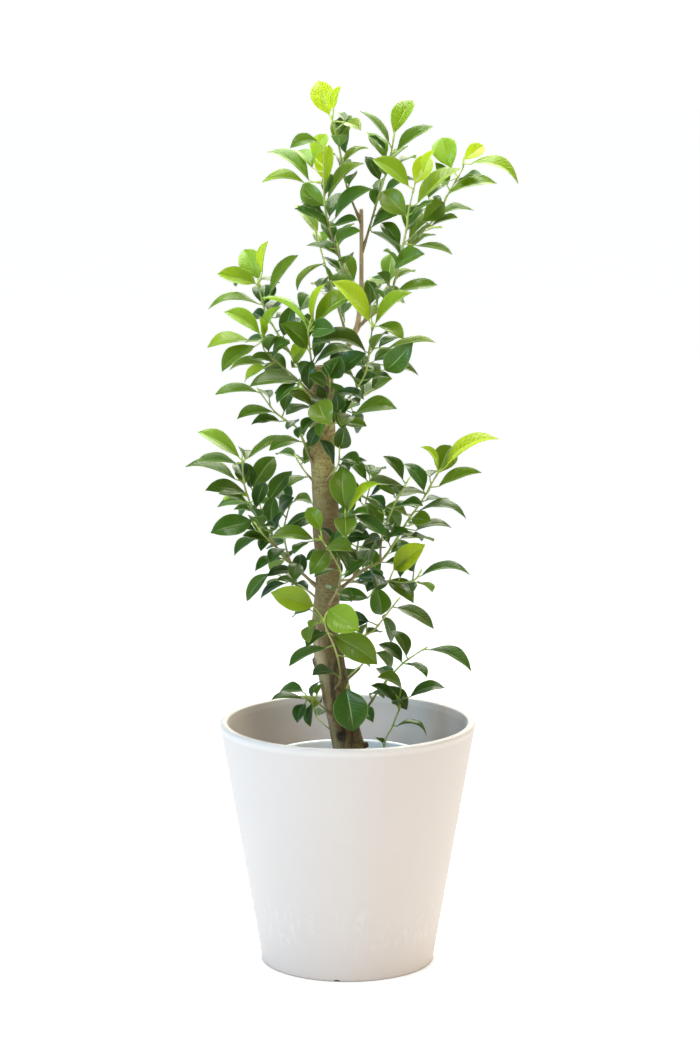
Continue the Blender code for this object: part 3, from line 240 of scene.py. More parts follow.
        (-26, 520, -20, -28, -29, 25, .4), (-11, 496, -29, -22, -8, 6, .3),
        (-26, 524, 30, -32, -2, 18, .45), (2, 494, -14, -22, 25, 13, .25),
        (-33, 545, -17, 18, 29, 20, .7)]),
    ("shoot_27", "trunk", 1.8, [(-26, -4, 508), (-8, -25, 530), (-3.4, -31, 546), (-2.7, -33, 567)], [
        (-3, 572, -3, 8, 52, 34, .55), (0, 567, 32, -8, 43, 8, 1), (-3, 561, 0, -32, -24, 28, .5),
        (0, 537, 27, -30, 0, 18, .15), (9, 564, 39, -12, -26, 18, .25), (3, 561, 26, -25, 7, 8, .4)]),
    ("shoot_28", "trunk", 2.6, [(-24, 2, 460), (20, 6, 496), (42, 6, 508), (61, 4, 535), (74, 2, 557),
        (92, 0, 583), (110.4, -2, 616)], [
        (94, 595, -24, 15, 35, 18, .3), (101, 612, 11, 30, 8, 9, .25), (112, 617, 15, 22, 34, 31, .45),
        (111, 622, -19, -8, 28, 6, .95), (122, 626, 61, 0, 36, 11, .85), (112, 600, 52, -6, 18, 13, .45),
        (104, 591, -39, -18, -3, 8, .25), (96, 583, 29, 25, -1, 6, .3), (88, 570, 58, -8, -1, 11, .3, .14),
        (84, 545, 44, 12, 6, 8, .35), (80, 537, 26, 28, -5, 5, .4), (65, 535, 27, 30, 0, 11, .1),
        (84, 574, -29, -20, -1, 6, .35), (64, 548, -18, -22, 26, 20, .4), (74, 564, -18, -28, 10, 11, .6),
        (79, 560, 24, -28, -3, 18, .4), (76, 551, 20, 25, -2, 6, .4), (72, 566, -24, 26, 9, 17, .85),
        (62, 538, -18, 24, 22, 17, .08)]),
    ("shoot_29", "shoot_28", 1.8, [(40, 6, 507), (43, -9, 538), (57, -15, 576), (65, -17, 591),
        (74, -18, 607)], [
        (68, 609, -24, 10, 29, 15, .25), (78, 599, -45, -15, 5, 10, .35), (58, 587, -18, -28, 12, 14, .5),
        (70, 584, -27, 18, 19, 10, .25), (46, 572, -18, 22, 15, 15, .2), (38, 570, -21, -22, 18, 6, .3)]),
    ("shoot_30", "shoot_28", 1.7, [(8, 5, 486), (11, 15, 515), (16, 19, 551), (21, 21, 575),
        (28.7, 22, 604)], [
        (23, 609, -23, 15, 26, 15, .3), (27, 614, -5, 30, 14, 15, .25), (30, 611, 17, 25, 12, 6, .25),
        (34, 611, 6, -30, 8, 9, .5), (10, 560, -24, 34, 8, 18, .2), (24, 566, 30, 34, 4, 18, .25),
        (18, 526, 24, 26, 8, 22, .05), (6, 528, -22, 24, 8, 22, .05)]),
    ("shoot_31", "shoot_28", 1.8, [(20, 6, 496), (38, -7, 480), (52, -11, 482), (68, -13, 480),
        (83, -13, 483), (89, -13, 491)], [
        (57, 496, 38, -20, 31, 28, .85), (50, 482, 37, -22, -30, 25, .4), (82, 494, 2, 28, 12, 9, .35),
        (92, 489, 58, -5, 4, 10, .35, .12), (86, 480, 19, 25, -10, 5, .45),
        (30, 496, 12, -30, -46, 18, .22)]),
    ("shoot_32", "trunk", 1.9, [(-24, 8, 474), (-2, 21, 483), (22, 26, 478), (36, 27, 478)], [
        (22, 502, -31, 15, 15, 20, .05), (40, 492, -24, 18, 34, 23, .3), (34, 477, 8, 22, -37, 28, .3),
        (34, 478, -7, -25, 22, 13, .2), (10, 487, 14, 32, -5, 9, .35), (26, 460, -39, 12, 1, 18, .4)]),
    ("shoot_33", "trunk", 2.0, [(-24, 4, 390), (23, 16, 414), (34, 17, 421), (50, 18, 442),
        (61, 18, 456)], [
        (55, 452, 45, -5, -27, 18, .3), (42, 439, 11, 20, -34, 13, .25), (24, 414, 17, 28, 3, 8, .4),
        (26, 431, -24, 22, 8, 20, .15), (24, 428, 6, 28, 12, 8, .4)]),
    ("shoot_34", "trunk", 1.9, [(-19, -2, 338), (-9, -23, 357), (-12, -28, 383), (-18.4, -32, 403),
        (-25.4, -34, 418), (-29, -34, 430)], [
        (-42, 450, -51, -15, 17, 30, .65), (-34, 452, 37, -28, -25, 38, .8), (-46, 446, -22, 25, -8, 9, .1),
        (-46, 426, -2, -28, -22, 15, .5), (-26, 416, -25, -28, -17, 15, .3),
        (-27, 397, -45, -15, -23, 15, .4), (-36, 433, -10, -28, -9, 9, .5),
        (-18, 413, 54, -18, -34, 35, .45), (-2, 386, 31, 15, -11, 8, .3),
        (-11, 361, -32, -30, 2, 13, .25)]),
    ("shoot_35", "trunk", 1.7, [(-12, -2, 314), (1, -21, 332), (1, -30, 350)], [
        (-4, 357, 9, -20, -54, 44, .4), (12, 318, 19, -32, -13, 18, .3)]),
    ("shoot_36", "trunk", 1.7, [(-16, 4, 346), (3, 21, 362), (20, 27, 378), (30, 29, 388)], [
        (34, 393, 20, 20, -21, 15, .3), (24, 384, -18, 34, 14, 20, .25), (10, 370, -10, 42, -14, 20, .3)]),
    ("shoot_37", "trunk", 1.6, [(-9, -3, 303), (-32, -12, 323), (-41, -14, 332), (-52, -14, 335)], [
        (-56, 342, -27, 25, 2, 13, .45), (-56, 333, -38, -20, 0, 6, .3), (-53, 326, -10, -25, -23, 15, .3),
        (-44, 327, -4, -15, -29, 10, .35), (-35, 325, -8, 25, 9, 6, .5), (-45, 335, 10, 20, 20, 8, .4),
        (-38, 338, 7, -16, 14, 7, .5)]),
    ("shoot_38", "trunk", 1.5, [(-4, 4, 280), (-27, 14, 298), (-38, 18, 309), (-41, 18, 317)], [
        (-42, 321, -9, -22, 12, 9, .45), (-38, 311, 10, 34, 6, 12, .3)]),
    ("shoot_39", "trunk", 2.2, [(2, 3, 272), (20, 9, 314), (31, 9, 331), (43, 8, 349), (66, 6, 375),
        (83, 5, 388), (94, 4, 395)], [
        (73, 387, -17, 18, 33, 15, .3), (68, 379, -28, 20, 23, 15, .3),
        (102, 395, 51, -5, -27, 15, .35, .12), (72, 377, 27, -25, -15, 6, .45),
        (26, 338, 18, -25, -3, 8, .4), (46, 353, 25, -14, -30, 20, .25), (52, 356, -12, 36, 16, 18, .25)]),
    ("shoot_40", "soil", 1.9, [(38, -12, 212), (46, -12, 274), (55, -12, 295), (62, -12, 313),
        (65.5, -12, 322), (63, -12, 331)], [
        (60, 326, -28, -12, 25, 10, .3), (78, 335, 41, -8, 14, 13, .35), (64, 324, 5, -28, 8, 9, .25),
        (60, 298, 38, -5, -9, 6, .3, .2), (44, 276, -7, -18, 7, 6, .4), (67, 348, -28, -25, 13, 16, .55)]),
]

# Reading the tables

def spaced(line):
    return [(Vector(point[:3]), point[3]) for point in line]


def fullLength(points):
    return sum((b - a).length for a, b in zip(points, points[1:]))


def shareAlong(point, a, b):
    # How far from a to b a point lies, from 0 to 1
    ab = b - a
    return min(1.0, max(0.0, (point - a).dot(ab) / ab.length_squared))


def atDepth(x, z, depth):
    # The point at this depth that shows at x and z
    offset = (Vector((x, 0, z)) - viewpoint) * (1 - depth / viewpoint.y)
    return Vector((viewpoint.x + offset.x, depth, viewpoint.z + offset.z))


def shown(point):
    # Where a point shows
    offset = (point - viewpoint) / (1 - point.y / viewpoint.y)
    return Vector((viewpoint.x + offset.x, 0, viewpoint.z + offset.z))


def nearest(target, line, least=0.0):
    # The place on a line of points that shows nearest to the target
    places = []
    for i, (a, b) in enumerate(zip(line, line[1:])):
        share = shareAlong(target, shown(a), shown(b))
        places.append(a + (b - a) * (max(share, least) if i == 0 else share))
    return min(places, key=lambda place: (shown(place) - target).length)


def deepRoute(route, carrierRoute):
    # Each stem stands further out to the front or back, the more so towards its end.
    points = [Vector(p) for p in route]
    begin = points[0].y
    if carrierRoute:
        begin = nearest(Vector((points[0].x, 0, points[0].z)), carrierRoute).y
    total = fullLength(points)
    run = 0.0
    deep = []
    for i, point in enumerate(points):
        run += (point - points[max(i - 1, 0)]).length
        depth = begin + (point.y - points[0].y) * (1 + spreading * run / total)
        deep.append(atDepth(point.x, point.z, depth))
    return deep


def shootLine(points, startRadius):
    # A stem that thins towards its tip
    total = fullLength(points)
    run = 0.0
    line = [(points[0], startRadius)]
    for a, b in zip(points, points[1:]):
        run += (b - a).length
        line.append((b, startRadius + (stemTip - startRadius) * (run / total)))
    return line


def distanceOutside(point, line):
    gaps = []
    for (a, radiusA), (b, radiusB) in zip(line, line[1:]):
        share = shareAlong(point, a, b)
        gaps.append((point - a - (b - a) * share).length - (radiusA + (radiusB - radiusA) * share))
    return min(gaps)


def collarEnd(route, startRadius, carrierLines):
    # Where a stem comes out of what carries it, and in which direction
    direction = (route[1] - route[0]).normalized()
    run = 1.0
    end = route[0] + direction * run
    while min(distanceOutside(end, line) for line in carrierLines) < startRadius + collarHeight:
        run += collarStep
        end = route[0] + direction * run
    return end, direction


# Meshes as lists of points and faces

def circle(sides):
    turns = [2 * math.pi * j / sides for j in range(sides)]
    return [(math.cos(turn), math.sin(turn)) for turn in turns]


def level(side, way):
    # The part of side that is square to the way
    return (side - way * side.dot(way)).normalized()


def curved(a, b, c, t):
    # A bend from a towards b to c
    return a * (1 - t) ** 2 + b * 2 * t * (1 - t) + c * t * t


def bands(rows, sides, first=0, flipped=False):
    # The quads between rows of points, each row a ring of this many sides
    faces = []
    for low in range(first, first + (rows - 1) * sides, sides):
        for j in range(sides):
            k = (j + 1) % sides
            face = (low + j, low + k, low + sides + k, low + sides + j)
            faces.append((face[0], face[3], face[2], face[1]) if flipped else face)
    return faces


def caps(count, sides):
    # The end faces of a pile of rings
    return [tuple(reversed(range(sides))), tuple(range(count - sides, count))]


def fan(tip, sides, flipped=False):
    # From the last ring to the point that follows it
    pairs = [(tip - sides + j, tip - sides + (j + 1) % sides) for j in range(sides)]
    return [(a, tip, b) if flipped else (a, b, tip) for a, b in pairs]


def tube(line, sides, apex=0.0):
    points = [p for p, radius in line]
    verts = []
    side = None
    for i, (centre, radius) in enumerate(line):
        along = (points[min(i + 1, len(points) - 1)] - points[max(i - 1, 0)]).normalized()
        side = level(along.orthogonal() if side is None else side, along)
        other = along.cross(side)
        verts += [centre + (side * x + other * y) * radius for x, y in circle(sides)]
    faces = bands(len(line), sides)
    ends = caps(len(verts), sides)
    if apex:
        verts.append(points[-1] + (points[-1] - points[-2]).normalized() * apex)
        return verts, faces + ends[:1] + fan(len(verts) - 1, sides)
    return verts, faces + ends


def lathe(profile, sides):
    # A profile of (radius, height) turned round the upright axis
    points = []
    for radius, height in profile:
        points += [Vector((radius * x, radius * y, height)) for x, y in circle(sides)]
    return points, bands(len(profile), sides) + caps(len(points), sides)


def rounded(corners, steps=6):
    # A profile whose corners are (radius, height, rounding)
    out = []
    for i, (r, z, rounding) in enumerate(corners):
        here = Vector((r, z))
        if rounding == 0:
            out.append((r, z))
            continue
        before = Vector(corners[i - 1][:2]) - here
        after = Vector(corners[i + 1][:2]) - here
        a = here + before.normalized() * rounding
        b = here + after.normalized() * rounding
        out += [tuple(curved(a, here, b, k / steps)) for k in range(steps + 1)]
    return out


def smoothed(line, step):
    # A line of (point, radius) as a smooth curve through the same points
    out = []
    last = len(line) - 1
    for i in range(last):
        four = [line[max(i - 1, 0)], line[i], line[i + 1], line[min(i + 2, last)]]
        a, b, c, d = (Vector((*p, r)) for p, r in four)
        count = max(2, round((line[i + 1][0] - line[i][0]).length / step))
        for k in range(count):
            t = k / count
            mixed = 0.5 * (2 * b + (c - a) * t + (2 * a - 5 * b + 4 * c - d) * t * t
                           + (3 * b - a - 3 * c + d) * t ** 3)
            out.append((mixed.xyz, mixed.w))
    return out + [line[-1]]


def eased(low, high, value):
    share = min(1.0, max(0.0, (value - low) / (high - low)))
    return share * share * (3 - 2 * share)


# Where each leaf stands

class Leaf:
    # One blade: root on the stem, foot and reach of the blade, its upper side and sizes
    def __init__(self, root, foot, reach, seenWidth, rise):
        self.root = root
        self.foot = foot
        self.length = reach.length
        self.along = reach.normalized()
        self.width = max(widthOfLength * self.length, seenWidth)
        self.rise = rise
        self.view = (foot - viewpoint).normalized()
        self.upper = self.facing(seenWidth)

    def facing(self, seenWidth):
        # The side that shows this width from the front and looks up
        flat = self.along.cross(self.view).normalized()
        deep = self.along.cross(flat)
        share = min(1.0, seenWidth / self.width)
        tilt = math.sqrt(1 - share * share)
        choices = [(deep * share - flat * tilt * s) * t for s in (1, -1) for t in (1, -1)]
        return max(choices, key=lambda n: n.z - frontFirst * share * n.dot(self.view))

    def swung(self, lean, sideways, roll):
        # Turned about its foot: lean is towards or away from the front, sideways is within the front view
        copy = object.__new__(Leaf)
        copy.__dict__.update(self.__dict__)
        hinge = self.view.cross(self.along).normalized()
        turn = Quaternion(hinge, math.radians(lean)) @ Quaternion(self.view, math.radians(sideways))
        copy.along = turn @ self.along
        copy.upper = Quaternion(copy.along, math.radians(roll)) @ (turn @ self.upper)
        return copy

    def at(self, share):
        return self.foot + self.along * (self.length * share)

    def section(self, share, halfWidth, half):
        # Left edge, upper rib, right edge and lower rib across the blade
        right = self.along.cross(self.upper)
        bow = 4 * share * (1 - share) * self.rise * self.length
        middle = self.at(share) + self.upper * bow
        edge = self.upper * (halfWidth * foldRise)
        return [middle - right * halfWidth + edge, middle + self.upper * half,
                middle + right * halfWidth + edge, middle - self.upper * half]

    def mesh(self, spread=0.0, bladeOnly=False):
        # The solid's leaf, spread by this much on all sides, with its petiole or the blade alone
        def stalkRing(centre, across, way):
            size = petioleHalf + spread
            above = across.cross(way)
            return [centre - across * size, centre + above * size,
                    centre + across * size, centre - above * size]

        stalk = (self.foot - self.root).normalized()
        bend = (stalk + self.along).normalized()
        acrossFoot = level(self.along.cross(self.upper), bend)
        rings = [] if bladeOnly else [stalkRing(self.root, level(acrossFoot, stalk), stalk)]
        rings.append(stalkRing(self.foot, acrossFoot, bend))
        for share, wide in longStations if self.length > longLeaf else shortStations:
            rings.append(self.section(share, self.width / 2 * wide + spread, leafThickness / 2 + spread))
        verts = [p for ring in rings for p in ring]
        verts.append(self.foot + self.along * (self.length + spread))
        faces = [(0, 1, 2), (0, 2, 3)]
        for a in range(0, 4 * (len(rings) - 1), 4):
            b = a + 4
            faces += [(a, b + 1, a + 1), (a, b, b + 1), (a + 1, b + 2, a + 2), (a + 1, b + 1, b + 2),
                      (a + 2, b + 2, b + 3), (a + 2, b + 3, a + 3), (a + 3, b + 3, b), (a + 3, b, a)]
        return verts, faces + fan(len(verts) - 1, 4, flipped=True)


def readLeaf(row, line):
    x, z, across, back, up, seenWidth, tone, *bow = row
    target = Vector((x, 0, z)) - Vector((across, 0, up)).normalized() * petioleSeen
    root = nearest(target, [p for p, radius in line], firstLeaf)
    depth = root.y + leafInsert * back
    foot = atDepth(x, z, depth)
    reach = atDepth(x + across, z + up, depth + back) - foot
    ahead = (foot - root).dot(reach.normalized())
    if ahead < leastAhead:
        foot += reach.normalized() * (leastAhead - ahead)
    return Leaf(root, foot, reach, seenWidth, bow[0] if bow else archRise)


# The swings tried for a leaf that would touch something, the smallest first
swings = sorted(((lean, sideways, roll) for lean in range(-56, 57, 8) for sideways in range(-18, 19, 6)
                 for roll in range(-45, 46, 15)),
                key=lambda s: (abs(s[0]) / 10 + abs(s[1]) / 4 + abs(s[2]) / 8, s))


def corners(verts):
    return [[pick(v[i] for v in verts) for i in range(3)] for pick in (min, max)]


class Thicket:
    # What is already in place, so that each new leaf stands clear of it
    def __init__(self):
        self.placed = []

    def add(self, owner, verts, faces):
        self.placed.append((owner, *corners(verts), BVHTree.FromPolygons(verts, faces)))

    def touches(self, owner, leaf):
        # A blade stands clear of its own stem too, but its petiole starts on it
        whole = leaf.mesh(clearance)
        low, high = corners(whole[0])
        wholeTree = BVHTree.FromPolygons(*whole)
        bladeTree = BVHTree.FromPolygons(*leaf.mesh(clearance, bladeOnly=True))
        for other, otherLow, otherHigh, tree in self.placed:
            if any(low[i] > otherHigh[i] or high[i] < otherLow[i] for i in range(3)):
                continue
            if (bladeTree if other == owner else wholeTree).overlap(tree):
                return True
        return False

    def settle(self, owner, leaf):
        for size in (1.0, smallerLeaf):
            leaf.length *= size
            leaf.width *= size
            trial = next((swung for swung in (leaf.swung(*swing) for swing in swings)
                          if not self.touches(owner, swung)), None)
            if trial:
                break
        trial = trial or leaf
        self.add(owner, *trial.mesh(bladeOnly=True))
        return trial


# Shader expressions

class Wire:
    # One socket of a material's nodes. Sums on it add Math nodes.
    def __init__(self, tree, socket=None):
        self.tree = tree
        self.socket = socket

    def node(self, kind, settings=None, inputs=None, output=0):
        made = self.tree.nodes.new(kind)
        for key, value in (settings or {}).items():
            if key == "stops":
                elements = made.color_ramp.elements
                while len(elements) < len(value):
                    elements.new(0.5)
                for element, (place, colour) in zip(elements, value):
                    element.position = place
                    element.color = (*colour, 1)
            else:
                setattr(made, key, value)
        fill(self.tree, made.inputs, inputs or {})
        return Wire(self.tree, made.outputs[output])

    def maths(self, operation, *values):
        return self.node("ShaderNodeMath", {"operation": operation}, dict(enumerate(values)))

    def __add__(self, other):
        return self.maths("ADD", self, other)

    def __radd__(self, other):
        return self.maths("ADD", other, self)

    def __sub__(self, other):
        return self.maths("SUBTRACT", self, other)

    def __rsub__(self, other):
        return self.maths("SUBTRACT", other, self)

    def __mul__(self, other):
        return self.maths("MULTIPLY", self, other)

    def __rmul__(self, other):
        return self.maths("MULTIPLY", other, self)

    def between(self, low, high):  # 0 below low, 1 above high, soft in between
        return self.node("ShaderNodeMapRange", {"interpolation_type": "SMOOTHSTEP"},
                         {0: self, 1: low, 2: high})

    def axis(self, name):
        return self.node("ShaderNodeSeparateXYZ", inputs={0: self}, output=name)

    def ramp(self, stops):
        return self.node("ShaderNodeValToRGB", {"stops": stops}, {"Fac": self}, "Color")


def fill(tree, sockets, inputs):
    for key, value in inputs.items():
        if isinstance(value, Wire):
            tree.links.new(value.socket, sockets[key])
        else:
            sockets[key].default_value = value


def blend(share, first, second):  # two colours
    first, second = (colour if isinstance(colour, Wire) else (*colour, 1) for colour in (first, second))
    return share.node("ShaderNodeMix", {"data_type": "RGBA"}, {0: share, 6: first, 7: second}, 2)


class Finish:
    # A material with its Principled shader
    def __init__(self, name):
        self.material = bpy.data.materials.new(name)
        self.material.use_nodes = True
        self.tree = self.material.node_tree
        self.shader = self.tree.nodes["Principled BSDF"]
        self.start = Wire(self.tree)

    def place(self, stretch=(1, 1, 1)):  # the point on the piece, in metres times the stretch
        point = self.start.node("ShaderNodeTexCoord", output="Object")
        return self.start.node("ShaderNodeMapping", inputs={"Vector": point, "Scale": stretch})

    def value(self, name):  # a value that the mesh carries
        return self.start.node("ShaderNodeAttribute", {"attribute_name": name}, output="Fac")

    def noise(self, scale, stretch=(1, 1, 1), detail=3.0, roughness=0.55):
        return self.start.node("ShaderNodeTexNoise", inputs={
            "Vector": self.place(stretch), "Scale": scale, "Detail": detail, "Roughness": roughness})

    def wear(self, colour, roughness, relief, depth, strength=1.0, others=None):
        # The relief's depth is in metres
        bump = self.start.node("ShaderNodeBump", inputs={
            "Height": relief, "Distance": depth, "Strength": strength})
        looks = {"Base Color": colour, "Roughness": roughness, "Normal": bump}
        fill(self.tree, self.shader.inputs, looks | (others or {}))
        return self

    def letThrough(self, share, colour):  # light that shines through from behind
        glow = self.start.node("ShaderNodeBsdfTranslucent", inputs={"Color": (*colour, 1)})
        both = self.start.node("ShaderNodeMixShader", inputs={
            0: share, 1: Wire(self.tree, self.shader.outputs[0]), 2: glow})
        fill(self.tree, self.tree.nodes["Material Output"].inputs, {"Surface": both})


# Pieces

def inScene(thing):
    bpy.context.scene.collection.objects.link(thing)
    return thing


def carrying(mesh, values):
    # The mesh with values for its finish to read, one for each point
    for key, numbers in values.items():
        mesh.attributes.new(key, "FLOAT", "POINT").data.foreach_set("value", numbers)
    mesh.shade_smooth()
    return mesh


def standing(mesh, nodes):
    # A piece of the mesh's name that stands for these solids
    piece = inScene(bpy.data.objects.new(mesh.name, mesh))
    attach(piece, "root")
    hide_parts(*nodes)
    return piece


def applied(piece):
    # A mesh with the piece's modifiers in it
    return bpy.data.meshes.new_from_object(piece.evaluated_get(bpy.context.evaluated_depsgraph_get()))


class Mould:
    # Points, faces, finishes and shading values of one piece on their way to a mesh
    def __init__(self):
        self.points = []
        self.faces = []
        self.looks = []
        self.values = {"tone": [], "across": [], "along": [], "hue": []}

    def add(self, points, faces, look, tone=0.0, across=None, along=None, hue=0.0):
        first = len(self.points)
        count = len(points)
        self.points += points
        self.faces += [tuple(first + i for i in face) for face in faces]
        self.looks += [look] * len(faces) if isinstance(look, str) else look
        given = {"tone": [tone] * count, "across": across, "along": along, "hue": [hue] * count}
        for key, values in given.items():
            self.values[key] += values or [0.0] * count

    def plainMesh(self, name):
        mesh = bpy.data.meshes.new(name)
        mesh.from_pydata([p * mm for p in self.points], [], self.faces)
        return mesh

    def piece(self, name, slot, nodes, finishes, sharp=50):
        mesh = self.plainMesh(name)
        used = sorted(set(self.looks))
        for look in used:
            mesh.materials.append(finishes[look].material)
        mesh.polygons.foreach_set("material_index", [used.index(look) for look in self.looks])
        carrying(mesh, self.values).set_sharp_from_angle(angle=math.radians(sharp))
        return standing(mesh, nodes)


# Leaves, stems and buds

blade = dict(steps=18, sides=12, crowding=1.35, start=0.012, reach=0.978, longer=1.02, wider=0.98,
             fullness=0.70, footNarrow=0.30, footShare=0.24, tipNarrow=0.42, tipShare=0.86,
             ribThick=0.95, edgeThick=0.4, rib=0.45, ribWidth=0.09, groove=0.3, wave=1.2, fold=1.1,
             bowRange=0.04, curl=0.05, curlFrom=0.65, twist=11.0, sway=2.0, leans=(0.92, 1.16),
             waveCounts=(0.9, 1.8), waveHeights=(0.3, 1.2), curls=(-0.3, 2.0), folds=(0.7, 1.4))
petiole = dict(steps=6, sides=6, radius=0.85, thickFoot=1.25, thins=0.35, sag=0.14, into=1.5)
stem = dict(step=3.5, sides=9, slimmer=0.74, swelling=0.4, swellingReach=2.4, flare=0.45, flareReach=4.0,
            insideWider=1.15)
bud = dict(sides=7, length=9.0, width=1.25, point=0.12,
           shape=((-0.1, 0.8), (0.1, 1.0), (0.35, 0.95), (0.65, 0.62), (0.88, 0.25)))
# Small old leaves on the bare stretches between the others
inner = dict(spacing=11.0, clear=5.0, first=0.08, last=0.86, shortest=26.0, longest=40.0, petiole=7.0,
             turn=137.5, outward=0.9, forward=0.45, upward=0.25, trials=160, within=13.0, lowest=430.0,
             seenWidth=10, step=2.0, coverStep=12.0, ages=(0.08, 0.40))
tint = dict(higher=0.12, lower=0.08, range=0.05)  # leaf tones are raised towards the top and lowered towards the foot
toneClasses = 5


def halfWidth(share, lean):
    # The blade's outline: a wedge at the foot, widest in the middle, and a short tip
    width = math.sin(math.pi * share ** lean) ** blade["fullness"]
    foot = 1 - blade["footNarrow"] * (1 - eased(0, blade["footShare"], share))
    tip = 1 - blade["tipNarrow"] * eased(blade["tipShare"], 1.0, share)
    return width * foot * tip


def addBlade(mould, leaf, tone, rng):
    b = blade
    lean = rng.uniform(*b["leans"])
    phases = [rng.uniform(0, 2 * math.pi) for side in range(2)]
    waves = rng.uniform(*b["waveCounts"])
    height = b["wave"] * rng.uniform(*b["waveHeights"]) * (1 - 0.6 * tone)
    length = leaf.length * b["longer"]
    hue = rng.uniform(-1, 1)
    arch = leaf.rise + rng.uniform(-1, 1) * b["bowRange"]
    curl = b["curl"] * rng.uniform(*b["curls"])
    twist = math.radians(rng.uniform(-1, 1) * b["twist"])
    sway = rng.uniform(-1, 1) * b["sway"]
    fold = foldRise * b["fold"] * rng.uniform(*b["folds"]) * (0.85 + 0.4 * tone)
    steps = b["steps"]
    evenly = [2 * j / b["sides"] - 1 for j in range(b["sides"] + 1)]
    crosses = [math.copysign(abs(t) ** b["crowding"], t) for t in evenly]
    ring = 2 * len(crosses)
    points = []
    across = []
    along = []
    for i in range(steps):
        share = b["start"] + b["reach"] * (1 - math.cos(math.pi * (i / (steps - 0.4)))) / 2
        half = max(leaf.width / 2 * b["wider"] * halfWidth(share, lean), 0.7 * (1 - share) + 0.15)
        upper = Quaternion(leaf.along, twist * share) @ leaf.upper
        right = leaf.along.cross(upper)
        bow = 4 * share * (1 - share) * arch * length
        bow -= curl * length * max(0.0, (share - b["curlFrom"]) / (1 - b["curlFrom"])) ** 2
        middle = leaf.foot + leaf.along * (share * length) + right * (sway * math.sin(math.pi * share))
        top = []
        bottom = []
        for u in crosses:
            a = abs(u)
            ripple = math.sin(2 * math.pi * waves * share + phases[u > 0]) * a * a * height
            rise = fold * half * (1.5 * a - 0.5 * a * a) + bow + ripple * math.sin(math.pi * share)
            thick = b["edgeThick"] + (b["ribThick"] - b["edgeThick"]) * (1 - a) ** 2
            ridge = math.exp(-(a / b["ribWidth"]) ** 2) * (1 - 0.8 * share)
            place = middle + right * (u * half)
            top.append(place + upper * (rise + thick / 2 - b["groove"] * ridge))
            bottom.append(place + upper * (rise - thick / 2 - b["rib"] * ridge))
        points += top + bottom[::-1]
        across += crosses + crosses[::-1]
        along += [share] * ring
    points.append(leaf.foot + leaf.along * length
                  + (Quaternion(leaf.along, twist) @ leaf.upper) * (-curl * length))
    kind = min(toneClasses - 1, int(tone * toneClasses))
    looks = [f"upper{kind}" if j < b["sides"] else f"under{kind}" for j in range(ring)]
    faces = [tuple(range(ring))] + bands(steps, ring, flipped=True)
    faces += fan(len(points) - 1, ring, flipped=True)
    mould.add(points, faces, [f"under{kind}"] + looks * steps, tone, across + [0.0], along + [1.0], hue)


def addPetiole(mould, leaf, root, tone):
    p = petiole
    away = leaf.foot - root
    bend = root + away * 0.5 + (away.normalized() - leaf.along) * away.length * p["sag"]
    end = leaf.foot + leaf.along * p["into"]
    line = []
    for i in range(p["steps"] + 1):
        t = i / p["steps"]
        line.append((curved(root, bend, end, t), p["radius"] * (p["thickFoot"] - p["thins"] * t)))
    mould.add(*tube(line, p["sides"]), "petiole", tone)


def addStem(mould, line, inside, roots, tone):
    fine = smoothed(line, stem["step"])
    along = []
    rings = []
    run = 0.0
    length = fullLength([place for place, radius in fine])
    for i, (place, radius) in enumerate(fine):
        run += (place - fine[max(i - 1, 0)][0]).length
        wide = radius * stem["slimmer"] * (1 + stem["flare"] * math.exp(-run / stem["flareReach"]))
        for root in roots:
            gap = (root - place).length / stem["swellingReach"]
            wide += stem["swelling"] * math.exp(-gap * gap)
        rings.append((place, wide))
        along.append(run / length)
    if (inside - rings[0][0]).length > 0.1:
        rings.insert(0, (inside, rings[0][1] * stem["insideWider"]))
        along.insert(0, 0.0)
    shares = [share for share in along for side in range(stem["sides"])]
    mould.add(*tube(rings, stem["sides"]), "stem", tone, None, shares)
    return fine


def addBud(mould, fine, tone):
    # The rolled-up next leaf at a stem's end
    tip = fine[-1][0]
    way = (tip - fine[-2][0]).normalized()
    line = [(tip + way * (share * bud["length"]), bud["width"] * wide) for share, wide in bud["shape"]]
    mould.add(*tube(line, bud["sides"], bud["length"] * bud["point"]), "bud", tone)


def addInnerLeaves(thicket, name, line, leaves, covered, rng):
    # Each tries one place after another, in front of or behind what is there as it shows from the
    # front, and is left out where none is free
    def covers(leaf):
        points = [shown(leaf.at(share)) for share in (0.5, 0.9)]
        return all(min((point - other).length for other in covered) < n["within"] for point in points)

    n = inner
    fine = [place for place, radius in smoothed(line, n["step"])]
    total = fullLength(fine)
    run = 0.0
    due = total * n["first"] + rng.uniform(0, n["spacing"])
    angle = rng.uniform(0, 360)
    for a, b in zip(fine, fine[1:]):
        run += (b - a).length
        if run < due or run > total * n["last"]:
            continue
        due += n["spacing"] * rng.uniform(0.8, 1.2)
        angle += n["turn"]
        if b.z < n["lowest"] or min((b - leaf.root).length for leaf, tone in leaves) < n["clear"]:
            continue
        way = (b - a).normalized()
        side = Quaternion(way, math.radians(angle)) @ way.orthogonal().normalized()
        toTip = (side * n["outward"] + way * n["forward"] + Vector((0, 0, n["upward"]))).normalized()
        reach = toTip * rng.uniform(n["shortest"], n["longest"])
        leaf = Leaf(b, b + toTip * n["petiole"], reach, n["seenWidth"], archRise)
        leaf.upper = level(Vector((0, -0.5, 1)), toTip)
        for swing in swings[:n["trials"]]:
            trial = leaf.swung(*swing)
            if covers(trial) and not thicket.touches(name, trial):
                thicket.add(name, *trial.mesh(bladeOnly=True))
                leaves.append((trial, rng.uniform(*n["ages"])))
                break


